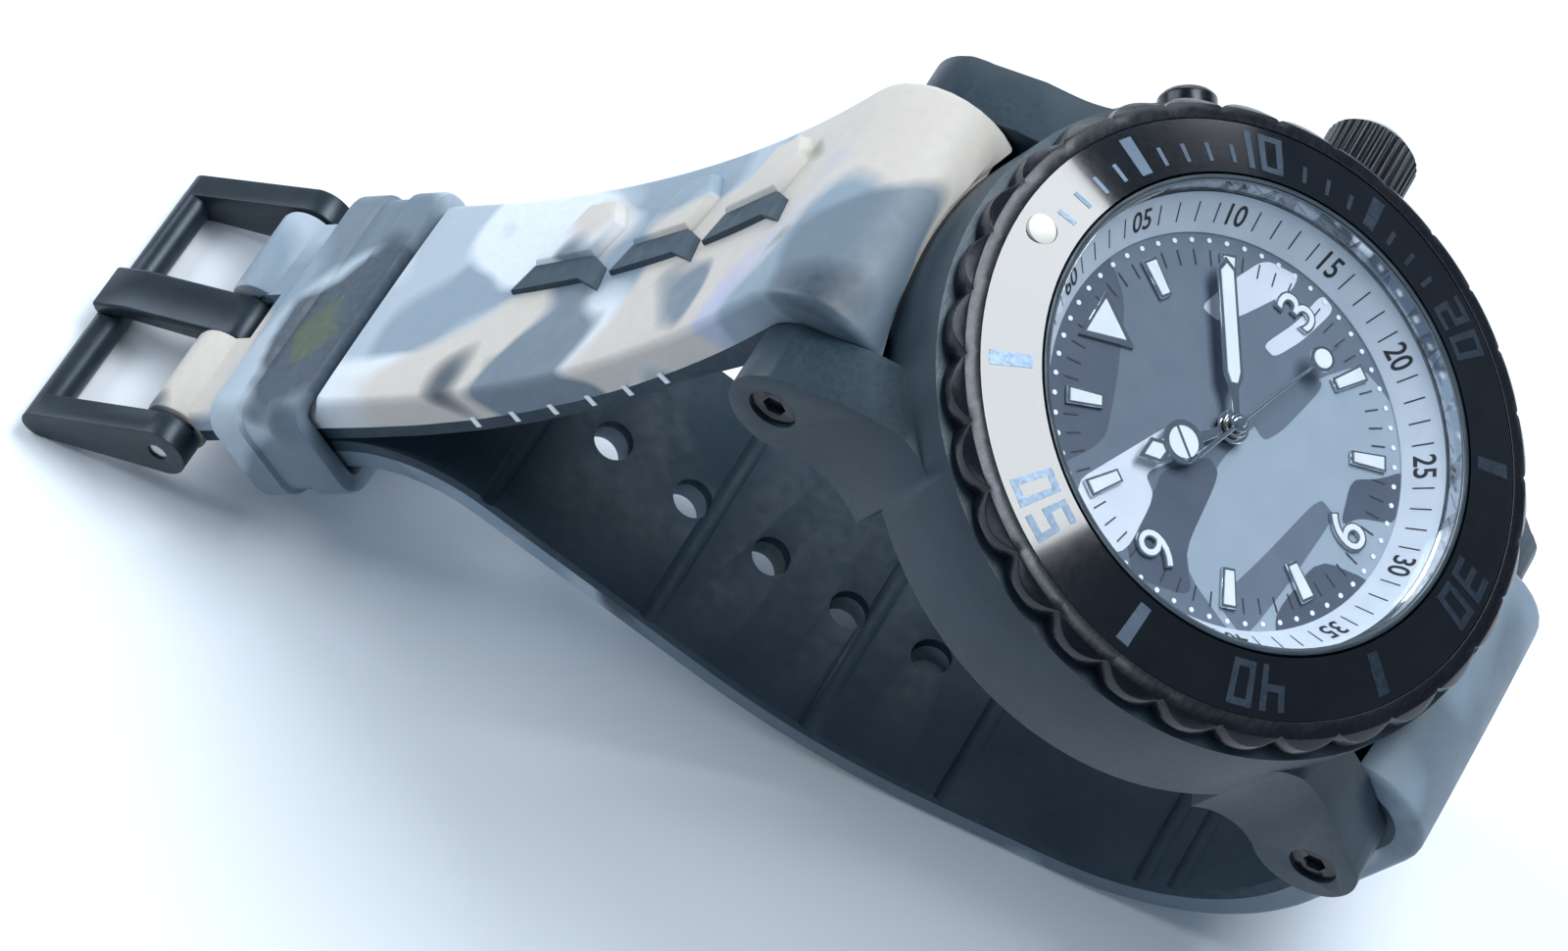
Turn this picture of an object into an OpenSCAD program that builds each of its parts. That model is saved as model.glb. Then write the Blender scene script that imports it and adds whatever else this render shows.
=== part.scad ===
// Dive watch with a quartz movement on a two-layer silicone strap, lying on its
// side loop with the strap tail tucked through the keeper.
//
// Head geometry is drawn in the watch's own axes: +X to 3 o'clock, +Y to 12
// o'clock, +Z out of the dial, with the origin at the middle of the dial face.
// place_head() then lays the whole watch down the way it rests on a table.

/* [Case] */
// Diameter of the case body
case_d = 48; // [46:0.5:50]
// Distance between the two ears of a pair of lugs
lug_gap = 22; // [20:1:24]
// Thickness of one lug ear
ear_t = 5; // [4:0.25:5.5]
// Distance from the dial centre to a strap bar, seen from the front
bar_reach = 25.6; // [25:0.1:26.5]
// Depth of the strap bars below the dial face
bar_depth = 10.9; // [10:0.1:12]
// Depth of the case back's outer face below the dial face
case_depth = 13.7; // [13:0.1:15]

/* [Bezel] */
// Largest diameter over the bezel's lobes
bezel_d = 47.5; // [46:0.1:48]
// Number of lobes round the bezel
lobes = 30; // [20:2:60]
// Outer diameter of the bezel insert
insert_d = 43.8; // [42:0.1:44]

/* [Dial] */
// Diameter of the dial that can be seen inside the chapter ring
dial_view_d = 29.2; // [28:0.1:30]
// Diameter of the crystal
crystal_d = 33.9; // [33.5:0.1:34]
// Hours shown
show_h = 10; // [0:1:11]
// Minutes shown
show_m = 9; // [0:1:59]
// Seconds shown
show_s = 18; // [0:1:59]

/* [Crown and pusher] */
// Diameter of the crown
crown_d = 7.2; // [6:0.1:8]
// Distance from the dial centre to the crown's outer face
crown_reach = 30.2; // [29:0.1:31]
// Diameter of the light pusher's head
pusher_d = 4.4; // [4:0.1:5]
// Angle of the light pusher from 12 o'clock, clockwise
pusher_angle = 57.5; // [50:0.5:62]

/* [Strap] */
// Width of the strap
strap_w = 21.6; // [21:0.1:21.8]
// Thickness of the strap half on the 12 o'clock side
long_t = 4.0; // [3.6:0.1:4.4]
// Thickness of the strap half on the 6 o'clock side
tail_t = 3.2; // [2.8:0.1:3.4]
// Thickness of the dark inner layer
liner_t = 1.1; // [0.8:0.1:1.3]
// Radius of the strap's end round its bar
nose_r = 6.2; // [6:0.1:6.6]
// Diameter of the adjustment holes
hole_d = 3.2; // [3:0.1:3.4]
// Distance between adjustment holes
hole_pitch = 7.5; // [7:0.1:8]
// Number of adjustment holes
holes = 7; // [5:1:8]

/* [Buckle and keeper] */
// Distance from the buckle's pin to its end bar
buckle_len = 11.9; // [11:0.1:13]
// Thickness of each buckle leg
leg_t = 2.2; // [2:0.1:2.6]
// Radius of the buckle's end bar
end_bar_r = 1.35; // [1.2:0.05:1.6]
// Length of the keeper along the strap
keeper_len = 9.8; // [9:0.1:11]
// Wall thickness of the keeper
keeper_wall = 1.6; // [1.2:0.1:1.8]

/* [Resting pose] */
// Angle between the dial and the table
tilt = 30; // [26:1:32]

/* [Hidden] */

$fn = 96;

// Clearances
slip = 0.02;      // radial clearance of the watch's pivots
gap = 0.3;        // clearance between the case and the strap
touch = 0.05;     // small clearance between pieces that slide
lap = 0.2;        // overlap that joins two drawn shapes into one solid

// Case
case_r = case_d / 2;
case_top = 0.9;
side_bottom = -8.5;
bottom_r = 19.6;
bottom_z = -12.6;
neck_r = 17.45;
neck_top = 4.35;
crystal_r = crystal_d / 2;
crystal_z = 2.6;
crystal_t = 1.95;
seat_r = crystal_r + 0.2;
rehaut_r = crystal_r - 0.1;
cavity_r = 17.6;
back_thread_r = 18.2;
back_thread_z = -9.5;
back_flange_r = 19.3;
back_flange_z = -12.65;
back_floor_z = back_flange_z + 0.4;
back_wall_r = 16.4;
back_wall_top = back_thread_z - 0.1;
back_chamfer = 0.6;
back_notches = 6;
back_notch_r = 1.3;
groove_r = [18.5, 19.2];
groove_z = -11.9;
ear_in = lug_gap / 2;
ear_out = ear_in + ear_t;
bar_z = -bar_depth;
bar_r = 1.0;
bar_half = ear_out - 1.9;
screw_r = 1.8;
screw_sink = 1.2;
screw_shank_r = 0.6;
screw_shank = 3;

// Bezel
bezel_r = bezel_d / 2;
bezel_bottom = 1.15;
bezel_top = 5;
bezel_side_top = 2.5;
bezel_shoulder = 0.65;
bezel_shoulder_top = 3.2;
bezel_chamfer = 0.45;
insert_t = 0.75;
insert_slot = 1.1;
bezel_bore_r = neck_r + 0.15;
insert_r = insert_d / 2;
insert_in_z = 4.33;
insert_out_z = 3.34;
pearl_r = 1.1;
pearl_at = 20.1;
lobe_r = 3.6;
lobe_at = bezel_r - lobe_r;

// Dial and hands
dial_r = 17.4;
dial_t = 0.5;
view_r = dial_view_d / 2;
centre_hole_r = 1.0;
index_in = 10.3;
index_out = 13.2;
index_w = 1.15;
index_t = 0.35;
seconds_turn = show_s * 6;
minute_turn = show_m * 6 + show_s / 10;
hour_turn = show_h * 30 + minute_turn / 12;
hour_z = 0.75;
minute_z = 1.2;
seconds_z = 1.65;
hand_t = 0.25;

// Movement, heights measured from the dial face
plate_r = 13.9;
plate_z = [-2.6, -1.65];
bridge_z = [-6.3, -5.6];
holder_z = [back_wall_top, -dial_t];
arbor_r = 0.2;
cannon_in = arbor_r + slip;
cannon_out = 0.5;
hour_in = cannon_out + slip;
hour_out = 0.85;
train_radius = 4.08;
third_angle = 60;
fifth_angle = 200;
rotor_angle = 230;
motion_angle = 120;
motion_radius = 3.0;
rotor_radius = 3.36;
third_at = train_radius * [cos(third_angle), sin(third_angle)];
fifth_at = train_radius * [cos(fifth_angle), sin(fifth_angle)];
rotor_at = fifth_at + rotor_radius * [cos(rotor_angle), sin(rotor_angle)];
motion_at = motion_radius * [cos(motion_angle), sin(motion_angle)];
pillars = [[-5.4, 3.6], [6.9, 0.4], [-1.2, -4.9]];
pillar_r = 0.7;
battery_at = [6.3, -5.9];
battery_r = 4.75;
battery_z = [-5.2, plate_z[0]];
battery_base = 0.2;
board_z = [-7.3, -6.8];
board_gap_at = [-1, 0];
board_gap_r = 7.4;
coil_y = -9.3;
coil_from = -6.5;
coil_len = 6.8;
coil_r = 1.2;
core_half = 0.5;
stator_z = -4.3;
stator_t = 0.8;
rotor_r = 1.2;
rotor_air = 0.25;
bridge_screw_r = 0.35;
bridge_screw_len = 1.8;
pivot_in = plate_z[0] + 0.4;
pivot_out = bridge_z[0] + 0.1;
stud_r = 0.3;

// Bottom and top of each wheel and pinion
rotor_level = [-4.4, -3.4];
rotor_pinion_level = [-5.4, -5.05];
fifth_level = [-5.3, -5.15];
fifth_pinion_level = [-5.0, -4.55];
seconds_level = [-4.9, -4.7];
seconds_pinion_level = [-4.35, -3.85];
third_level = [-4.2, -4.0];
third_pinion_level = [-3.2, -2.8];
centre_level = [-3.1, -2.9];
cannon_level = [-1.55, -1.1];
motion_level = [-1.5, -1.2];
motion_pinion_level = [-1.2, -0.65];
hour_level = [-1.0, -0.7];

// Tooth counts and modules: driver and follower share a module
rotor_pinion_n = 8;
fifth_n = 48;
fifth_m = 0.12;
fifth_pinion_n = 8;
seconds_n = 40;
seconds_m = 0.17;
seconds_pinion_n = 8;
third_n = 60;
third_m = 0.12;
third_pinion_n = 8;
centre_n = 64;
centre_m = 2 * train_radius / (third_pinion_n + centre_n);
cannon_n = 12;
motion_n = 36;
motion_m = 0.125;
motion_pinion_n = 10;
hour_n = 40;
hour_m = 0.12;

// Phases that put each pair of gears in mesh
third_phase = mesh_phase(0, seconds_pinion_n, third_n, third_angle);
centre_phase = mesh_phase(third_phase, third_pinion_n, centre_n, third_angle + 180);
fifth_phase = mesh_phase(0, seconds_n, fifth_pinion_n, fifth_angle);
rotor_phase = mesh_phase(fifth_phase, fifth_n, rotor_pinion_n, rotor_angle);
motion_phase = mesh_phase(centre_phase, cannon_n, motion_n, motion_angle);
hour_phase = mesh_phase(motion_phase, motion_pinion_n, hour_n, motion_angle + 180);

// Crown and pusher
stem_z = -3.4;
stem_r = 0.5;
stem_in = 8.5;
stem_step = 19.5;
stem_head_r = 0.8;
stem_out = 27;
crown_in = 24.5;
crown_grooves = 36;
crown_groove_r = 0.27;
crown_groove_len = 4.4;
crown_len = crown_reach - crown_in;
crown_round = 0.8;
crown_tube_r = 2.45;
crown_tube_bore = 1.7;
pusher_z = stem_z;
pusher_tube_r = 2.7;
pusher_stem_r = 0.8;
pusher_w = 90 - pusher_angle;

// Strap halves, drawn in the plane seen from the side: [towards 12, up]
facet_turn = 3;
long_start_h = 2;
long_turn = 22;
long_arc = 48.5;
long_straight = 20.8;
thin_from = 4.3;
thin_t = 2.8;
thin_drop = long_t - thin_t;
long_h = long_start_h + long_turn;
long_bar = [bar_reach, bar_z];
tail_bar = [-bar_reach, bar_z];
long_start = long_bar + (nose_r - long_t / 2) * out_dir(long_start_h);
long_bend_end = step(long_start, long_start_h, long_arc, long_turn);
thin_mid = -thin_drop / 2;
pin_at = long_bend_end + long_straight * dir(long_h) + thin_mid * out_dir(long_h);
pin_r = 0.8;
loop_r = 2.6;

// The tail half rests flat on the table, then rises to lie inside the keeper
rest_h = 90 - tilt;
foot_r = 22;
foot_len = 10;
rise_turn = 23;
rise_r = 50;
tuck_r = 12;
tuck_turn = long_h - rest_h - rise_turn;
tail_gap = 0.3;
tail_offset = -long_t / 2 - tail_gap - tail_t / 2;
tail_len = 14.2;
tail_start = tail_bar - [nose_r - tail_t / 2, 0];
foot_arc = foot_r * PI * rest_h / 180;
rise_arc = rise_r * PI * rise_turn / 180;
tuck_arc = -tuck_r * PI * tuck_turn / 180;
tuck_end = long_bend_end + thin_from * dir(long_h) + tail_offset * out_dir(long_h);
rise_h = rest_h + rise_turn;
known_steps = step([0, 0], 0, foot_arc, rest_h) + foot_len * dir(rest_h)
  + step([0, 0], rest_h, rise_arc, rise_turn) + step([0, 0], rise_h, tuck_arc, tuck_turn);
left_over = tuck_end - tail_start - known_steps;
run_len = left_over[0] / sin(rise_h);
drop_len = -left_over[1] - run_len * cos(rise_h);
tail_path = [[drop_len, 0], [foot_arc, rest_h], [foot_len, 0], [rise_arc, rise_turn],
  [run_len, 0], [tuck_arc, tuck_turn], [tail_len, 0]];
long_path = [[long_arc, long_turn], [thin_from, 0]];
long_nose = [(nose_r - long_t / 2) * PI, -180];
tail_nose = [(nose_r - tail_t / 2) * PI, 180];
long_top = 2 * long_bar - long_start;
tail_top = 2 * tail_bar - tail_start;
tail_length = drop_len + foot_arc + foot_len + rise_arc + run_len + tuck_arc + tail_len;
last_hole = 17.1;
first_hole = tail_length - last_hole - (holes - 1) * hole_pitch;

// Height of the dial above the table, and the buckle's droop onto the table
foot_point = step(tail_start, 0, drop_len, 0) + step([0, 0], 0, foot_arc, rest_h)
  - tail_t / 2 * out_dir(rest_h);
rest_height = -up(foot_point);
pin_height = up(pin_at) + rest_height;
droop = asin((pin_height - end_bar_r) / buckle_len);
buckle_h = rest_h - droop;
end_bar_at = pin_at + buckle_len * dir(buckle_h);
leg_in = ear_in + 0.2;
leg_out = leg_in + leg_t;
leg_pin_r = 2.4;
tongue_w = 4.2;
slot_w = tongue_w + 0.6;
tongue_t = 1.5;
tongue_eye_r = 1.8;
notch_depth = 0.5;
keeper_slack = 0.3;
keeper_in_x = strap_w / 2 + keeper_slack;
keeper_top = long_t / 2 - thin_drop + keeper_slack / 2;
keeper_bottom = tail_offset - tail_t / 2 - keeper_slack;
keeper_from = thin_from + touch;

// Whole watch: middle of its length and width, for the origin
x_front = across(tail_bar) + nose_r;
x_back = across(end_bar_at) - end_bar_r;
centre_x = (x_front + x_back) / 2;
centre_y = (crown_reach - case_r) / 2;

// ---- helpers -------------------------------------------------------------

// Direction of travel for heading h, measured from straight down towards 12
function dir(h) = [sin(h), -cos(h)];
// Direction square to heading h, on the 12 o'clock side
function out_dir(h) = [cos(h), sin(h)];
// Where a stretch of given length and turn ends
function step(p, h, length, turn) =
  turn == 0 ? p + length * dir(h)
  : p + length * 180 / (PI * turn) * [cos(h) - cos(h + turn), sin(h) - sin(h + turn)];
// Points along a path of [length, turn] stretches, set off sideways
function trail(path, p, h, off, i = 0) =
  i == len(path) ? [p + off * out_dir(h)]
  : let (n = max(1, ceil(abs(path[i][1]) / facet_turn)))
    concat(
      [for (k = [0 : n - 1])
        step(p, h, path[i][0] * k / n, path[i][1] * k / n)
          + off * out_dir(h + path[i][1] * k / n)],
      trail(path, step(p, h, path[i][0], path[i][1]), h + path[i][1], off, i + 1));
// The items of a list from number k on
function rest_of(list, k) = [for (i = [k : len(list) - 1]) list[i]];
function reverse(list) = [for (k = [len(list) - 1 : -1 : 0]) list[k]];
// Outline of a band between two sideways offsets of a path
function band(path, p, h, a, b) = concat(trail(path, p, h, a), reverse(trail(path, p, h, b)));
// Height and length on the table of a point of the side view
function up(p) = p[0] * sin(tilt) + p[1] * cos(tilt);
function across(p) = -p[0] * cos(tilt) + p[1] * sin(tilt);
// Turn of a gear that meshes with one of a_n teeth and phase a, seen at angle
function mesh_phase(a, a_n, b_n, angle) =
  angle + 180 - 360 / b_n * (0.5 - (angle - a) * a_n / 360);

module place_head() {
  translate([-centre_x, -centre_y, rest_height])
    rotate([0, tilt, 0])
      rotate([0, 0, 90])
        children();
}

// Extrudes a side-view outline across the strap's width
module across_width(w) {
  rotate([90, 0, 90])
    translate([0, 0, -w / 2])
      linear_extrude(w)
        children();
}

// A shaft along the width direction through a side-view point
module cross_shaft(p, r, half) {
  translate([-half, p[0], p[1]])
    rotate([0, 90, 0])
      cylinder(r = r, h = 2 * half);
}

// Radial shaft at an angle from +X, between two distances from the centre
module radial_shaft(angle, z, r, from, to) {
  rotate([0, 0, angle])
    translate([from, 0, z])
      rotate([0, 90, 0])
        cylinder(r = r, h = to - from);
}

module disc(at, r, z) {
  translate([at[0], at[1], z[0]])
    cylinder(r = r, h = z[1] - z[0]);
}

// Flat gear with straight-sided teeth
module gear(n, m, z, phase) {
  pitch = 360 / n;
  root = (n - 2.4) * m / 2;
  tip = (n + 1.8) * m / 2;
  outline = [for (k = [0 : n - 1], c = [[-0.27, root], [-0.11, tip], [0.11, tip], [0.27, root]])
    c[1] * [cos(phase + (k + c[0]) * pitch), sin(phase + (k + c[0]) * pitch)]];
  translate([0, 0, z[0]])
    linear_extrude(z[1] - z[0])
      polygon(outline);
}

// Solid that the case fills, grown by a clearance, for trimming the strap ends
module case_envelope(c) {
  rotate_extrude()
    polygon([[0, 2 + c], [case_r + c, 2 + c], [case_r + c, side_bottom - c / 2],
      [bottom_r + c, bottom_z - c / 2], [back_flange_r + c, -case_depth - c], [0, -case_depth - c]]);
}

// ---- case ----------------------------------------------------------------

module ear_side() {
  translate([bar_reach - 0.8, bar_z])
    circle(r = 4.1);
  translate([26.7, -9.2])
    circle(r = 1.6);
  polygon([[14, -1.6], [18.5, -2.4], [23.2, -4.7], [27.9, -8.2], [28.9, -10.9], [27, -14.3],
    [24.8, -15], [20.5, -13.2], [14, -11.6]]);
}

// Plan of one ear: a straight ear with a hollow blend into the round case
module ear_plan() {
  blend_r = 8;
  blend_x = ear_out + blend_r;
  blend_y = sqrt(pow(case_r + blend_r, 2) - pow(blend_x, 2));
  difference() {
    polygon([[ear_in, 12], [case_r * blend_x / (case_r + blend_r), case_r * blend_y / (case_r + blend_r)],
      [blend_x, blend_y], [ear_out, blend_y], [ear_out, 30], [ear_in, 30]]);
    translate([blend_x, blend_y])
      circle(r = blend_r);
  }
}

module ear() {
  intersection() {
    across_width(4 * ear_out)
      ear_side();
    translate([0, 0, -20])
      linear_extrude(25)
        ear_plan();
  }
}

module case_middle() {
  color("#23262e")
    place_head()
      difference() {
        union() {
          rotate_extrude()
            polygon([[back_thread_r, bottom_z], [bottom_r, bottom_z], [case_r, side_bottom],
              [case_r, case_top], [neck_r, case_top], [neck_r, neck_top], [seat_r, neck_top],
              [seat_r, crystal_z - 0.1], [rehaut_r, crystal_z - 0.1], [rehaut_r, 0], [cavity_r, 0],
              [cavity_r, back_thread_z], [back_thread_r, back_thread_z]]);
          for (side = [0, 1], end = [0, 1])
            mirror([side, 0, 0])
              mirror([0, end, 0])
                difference() {
                  ear();
                  translate([0, 0, bottom_z - 5])
                    cylinder(r = cavity_r + 2.2, h = 30);
                }
        }
        for (end = [-1, 1]) {
          cross_shaft([end * bar_reach, bar_z], bar_r + slip, ear_out + 1);
          for (side = [-1, 1])
            translate([side * (ear_out - screw_sink), 0, 0])
              mirror([side < 0 ? 1 : 0, 0, 0])
                translate([0, end * bar_reach, bar_z])
                  rotate([0, 90, 0])
                    cylinder(r = screw_r + slip, h = 3);
        }
        radial_shaft(0, stem_z, crown_tube_r, cavity_r - 1, case_r + 1);
        radial_shaft(pusher_w, pusher_z, pusher_tube_r, cavity_r - 1, case_r + 1);
        translate([0, 0, bottom_z - 1])
          difference() {
            cylinder(r = groove_r[1], h = groove_z - bottom_z + 1);
            cylinder(r = groove_r[0], h = groove_z - bottom_z + 1);
          }
      }
}

module case_back() {
  color("#9a9da3")
    place_head()
      difference() {
        rotate_extrude()
          polygon([[0, -case_depth], [back_flange_r - back_chamfer, -case_depth],
            [back_flange_r, -case_depth + back_chamfer], [back_flange_r, back_flange_z],
            [back_thread_r - touch, back_flange_z], [back_thread_r - touch, back_wall_top],
            [back_wall_r, back_wall_top], [back_wall_r, back_floor_z], [0, back_floor_z]]);
        for (k = [0 : back_notches - 1])
          rotate([0, 0, 360 * (k + 0.5) / back_notches])
            translate([back_flange_r + 0.2, 0, -case_depth - 1])
              cylinder(r = back_notch_r, h = 1.7);
      }
}

module case_back_gasket() {
  color("#1a1a1a")
    place_head()
      rotate_extrude()
        translate([groove_r[0] + touch, back_flange_z])
          square([groove_r[1] - groove_r[0] - 2 * touch, groove_z - back_flange_z]);
}

module crystal() {
  color("#dfe8ee", 0.35)
    place_head()
      rotate_extrude()
        polygon([[0, crystal_z], [crystal_r, crystal_z], [crystal_r, crystal_z + crystal_t - 0.25],
          [crystal_r - 0.25, crystal_z + crystal_t], [0, crystal_z + crystal_t]]);
}

module crystal_gasket() {
  color("#e8e8e8")
    place_head()
      rotate_extrude()
        polygon([[rehaut_r, crystal_z - 0.1], [seat_r, crystal_z - 0.1], [seat_r, neck_top - 0.1],
          [crystal_r, neck_top - 0.1], [crystal_r, crystal_z], [rehaut_r, crystal_z]]);
}

module chapter_ring() {
  color("#e9edf2")
    place_head()
      rotate_extrude()
        polygon([[view_r, 0], [rehaut_r - touch, 0], [rehaut_r - touch, crystal_z - 0.1],
          [view_r, 0.15]]);
}

module dial() {
  color("#8592a3")
    place_head()
      difference() {
        disc([0, 0], dial_r, [-dial_t, 0]);
        disc([0, 0], centre_hole_r, [-1, 1]);
        lamp_pocket();
      }
}

module index_bar(hour) {
  rotate([0, 0, -30 * hour])
    translate([-index_w / 2, index_in, 0])
      cube([index_w, index_out - index_in, index_t]);
}

module applied_indices() {
  color("#f1f3f4")
    place_head() {
      for (hour = [1, 2, 4, 5, 7, 8, 10, 11])
        index_bar(hour);
      linear_extrude(index_t)
        polygon([[0, 8.9], [2.1, 12.9], [-2.1, 12.9]]);
    }
}

// A six of height 3.4, its middle at the origin
module digit_six() {
  translate([0, -0.55])
    difference() {
      circle(r = 1.15);
      circle(r = 0.55);
    }
  polygon([[-1.15, -0.5], [-0.6, -0.5], [0.75, 1.7], [0.1, 1.7]]);
}

module digit_three() {
  for (s = [-1, 1])
    translate([0, s * 0.8])
      difference() {
        circle(r = 1.05);
        circle(r = 0.5);
        polygon([[-2, -2 * s], [-2, 0.5 * s], [-0.1, 0.5 * s], [-0.1, -2 * s]]);
      }
}

module applied_numerals() {
  r = (index_in + index_out) / 2;
  color("#f1f3f4")
    place_head() {
      translate([r, 0, 0])
        linear_extrude(index_t)
          digit_three();
      translate([0, -r, 0])
        linear_extrude(index_t)
          digit_six();
      translate([-r, 0, 0])
        rotate([0, 0, 180])
          linear_extrude(index_t)
            digit_six();
    }
}

// ---- movement, fixed pieces ----------------------------------------------

// Room for the lamp, under the chapter ring at 6 o'clock
module lamp_pocket() {
  translate([-1.3, -16.4, -1.6])
    cube([2.6, 1.4, 2]);
}

module movement_holder() {
  color("#d9d9d4")
    place_head()
      difference() {
        disc([0, 0], dial_r, holder_z);
        disc([0, 0], plate_r, [holder_z[0] - 1, holder_z[1] + 1]);
        radial_shaft(0, stem_z, 1.2, plate_r - 2, dial_r + 1);
        radial_shaft(pusher_w, pusher_z, 1.2, plate_r - 2, dial_r + 1);
        lamp_pocket();
      }
}

module main_plate() {
  color("#c9a86a")
    place_head()
      difference() {
        union() {
          disc([0, 0], plate_r, plate_z);
          disc(motion_at, stud_r, [plate_z[1] - lap, motion_pinion_level[1]]);
          translate([10, -1.4, -4.7])
            cube([2.6, 2.8, 2.3]);
        }
        disc([0, 0], cannon_out + slip, [-4, 0]);
        for (at = [third_at, fifth_at, rotor_at])
          disc(at, arbor_r + slip, [plate_z[0] - 1, pivot_in + 0.1]);
        radial_shaft(0, stem_z, stem_r + 0.03, 9, 14);
      }
}

module train_bridge() {
  color("#d8c38e")
    place_head()
      difference() {
        union() {
          translate([0, 0, bridge_z[0]])
            linear_extrude(bridge_z[1] - bridge_z[0]) {
              polygon([pillars[0], [2.6, 5.2], pillars[1], pillars[2], rotor_at]);
              for (at = concat(pillars, [rotor_at]))
                translate(at)
                  circle(r = 1.5);
              translate(third_at)
                circle(r = 2.4);
            }
          for (at = pillars)
            disc(at, pillar_r, [bridge_z[0], plate_z[0]]);
        }
        for (at = [[0, 0], third_at, fifth_at, rotor_at])
          disc(at, arbor_r + slip, [bridge_z[0] - 1, bridge_z[1] + 0.1]);
        disc(battery_at, battery_r + 0.2, [bridge_z[0] - 1, plate_z[0]]);
        for (at = pillars)
          disc(at, bridge_screw_r, [bridge_z[0] - 1, bridge_z[0] + bridge_screw_len + lap]);
      }
}

module bridge_screws() {
  color("#8f949b")
    place_head()
      for (at = pillars)
        difference() {
          union() {
            disc(at, bridge_screw_r, [bridge_z[0], bridge_z[0] + bridge_screw_len]);
            disc(at, 0.8, [bridge_z[0] - 0.4, bridge_z[0]]);
          }
          translate([at[0] - 1, at[1] - 0.1, bridge_z[0] - 0.6])
            cube([2, 0.2, 0.4]);
        }
}

module battery_cell() {
  color("#c7cad0")
    place_head() {
      disc(battery_at, battery_r, battery_z);
      disc(battery_at, battery_r - 0.6, [battery_z[0] - battery_base, battery_z[0]]);
    }
}

module circuit_board() {
  color("#2e6a3f")
    place_head()
      difference() {
        disc([0, 0], plate_r, board_z);
        disc(board_gap_at, board_gap_r, board_z + [-1, 1]);
        disc(battery_at, battery_r + gap, board_z + [-1, 1]);
      }
}

module quartz_can() {
  color("#b9bdc3")
    place_head()
      translate([-4, 10, -6.1])
        rotate([0, 90, 0])
          cylinder(r = 0.7, h = 5.4);
}

module motor_coil() {
  color("#b4662f")
    place_head()
      difference() {
        translate([coil_from, coil_y, stator_z + stator_t / 2])
          rotate([0, 90, 0])
            cylinder(r = coil_r, h = coil_len);
        translate([-7, coil_y - core_half, stator_z])
          cube([9, 2 * core_half, stator_t]);
      }
}

module motor_stator() {
  color("#9ea2a8")
    place_head()
      difference() {
        translate([0, 0, stator_z])
          linear_extrude(stator_t) {
            translate(rotor_at)
              circle(r = 2.3);
            polygon([[-8.8, -4.2], [-7.2, -4.8], [-7.4, coil_y], [-8.8, coil_y]]);
            polygon([[-6.6, -5.4], [-4.4, -5], [-4.4, -6.4], [1.2, -7], [1.2, coil_y],
              [0.4, coil_y], [0.4, -7.6], [-6.2, -7.2]]);
            translate([-8.8, coil_y - core_half])
              square([10, 2 * core_half]);
          }
        disc(rotor_at, rotor_r + rotor_air, [stator_z - 1, stator_z + stator_t + 1]);
      }
}

module led_lamp() {
  color("#f4f0c8")
    place_head()
      translate([-1.2, -16.3, -1.5])
        cube([2.4, 1.2, 1.4]);
}

module crown_tube() {
  color("#1f2228")
    place_head()
      difference() {
        radial_shaft(0, stem_z, crown_tube_r, cavity_r, 26.3);
        radial_shaft(0, stem_z, crown_tube_bore, cavity_r - 1, stem_out);
      }
}

module pusher_tube() {
  color("#1f2228")
    place_head()
      difference() {
        radial_shaft(pusher_w, pusher_z, pusher_tube_r, cavity_r, 24.9);
        radial_shaft(pusher_w, pusher_z, pusher_stem_r + touch, cavity_r - 1, 25);
        radial_shaft(pusher_w, pusher_z, pusher_d / 2 + touch, 21.5, 26);
      }
}

// One-way click spring, lying in the step under the bezel
module click_spring() {
  color("#b9bdc3")
    place_head()
      difference() {
        disc([0, 0], 20.5, [case_top, case_top + 0.15]);
        disc([0, 0], 19.3, [0, 2]);
        for (k = [0 : 2])
          rotate([0, 0, 120 * k])
            translate([19, -0.6, 0])
              cube([1, 4, 2]);
      }
}

// ---- strap ---------------------------------------------------------------

module lug_bars() {
  color("#8f949b")
    place_head()
      for (end = [-1, 1])
        difference() {
          cross_shaft([end * bar_reach, bar_z], bar_r, bar_half);
          for (side = [-1, 1])
            translate([side * bar_half, 0, 0])
              cross_shaft([end * bar_reach, bar_z], screw_shank_r, screw_shank);
        }
}

module lug_screw() {
  difference() {
    union() {
      translate([0, 0, -0.9])
        cylinder(r = screw_r, h = 0.8);
      translate([0, 0, -0.9 - screw_shank])
        cylinder(r = screw_shank_r, h = screw_shank);
    }
    translate([0, 0, -0.6])
      cylinder(r = 0.9, h = 1, $fn = 6);
  }
}

module lug_screws() {
  color("#14161b")
    place_head()
      for (end = [-1, 1], side = [0, 1])
        mirror([side, 0, 0])
          translate([ear_out - 0.2, end * bar_reach, bar_z])
            rotate([0, 90, 0])
              lug_screw();
}

// Outer layer's outline: over the bar and down along the strap
module long_skin_outline() {
  polygon(band(concat([long_nose], long_path), long_top, 180 + long_start_h, long_t / 2,
    liner_t - long_t / 2));
}

module long_thin_outline() {
  polygon(band([[long_straight - thin_from + lap, 0]], long_bend_end + (thin_from - lap) * dir(long_h),
    long_h, long_t / 2 - thin_drop, liner_t - long_t / 2));
}

module strap_12_outer() {
  color("#cfd6dc")
    place_head()
      difference() {
        union() {
          across_width(strap_w)
            long_skin_outline();
          across_width(strap_w)
            long_thin_outline();
          cross_shaft(pin_at, loop_r, strap_w / 2);
        }
        case_envelope(gap);
        cross_shaft(pin_at, pin_r + slip, strap_w);
        across_width(strap_w + 1)
          long_liner_outline();
        tongue_slot();
      }
}

// Slot in the strap's end that leaves the tongue room to swing
module tongue_slot() {
  translate([0, pin_at[0], pin_at[1]])
    rotate([long_h, 0, 0])
      translate([-slot_w / 2, -4, -4])
        cube([slot_w, 8, 7.5]);
}

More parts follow.
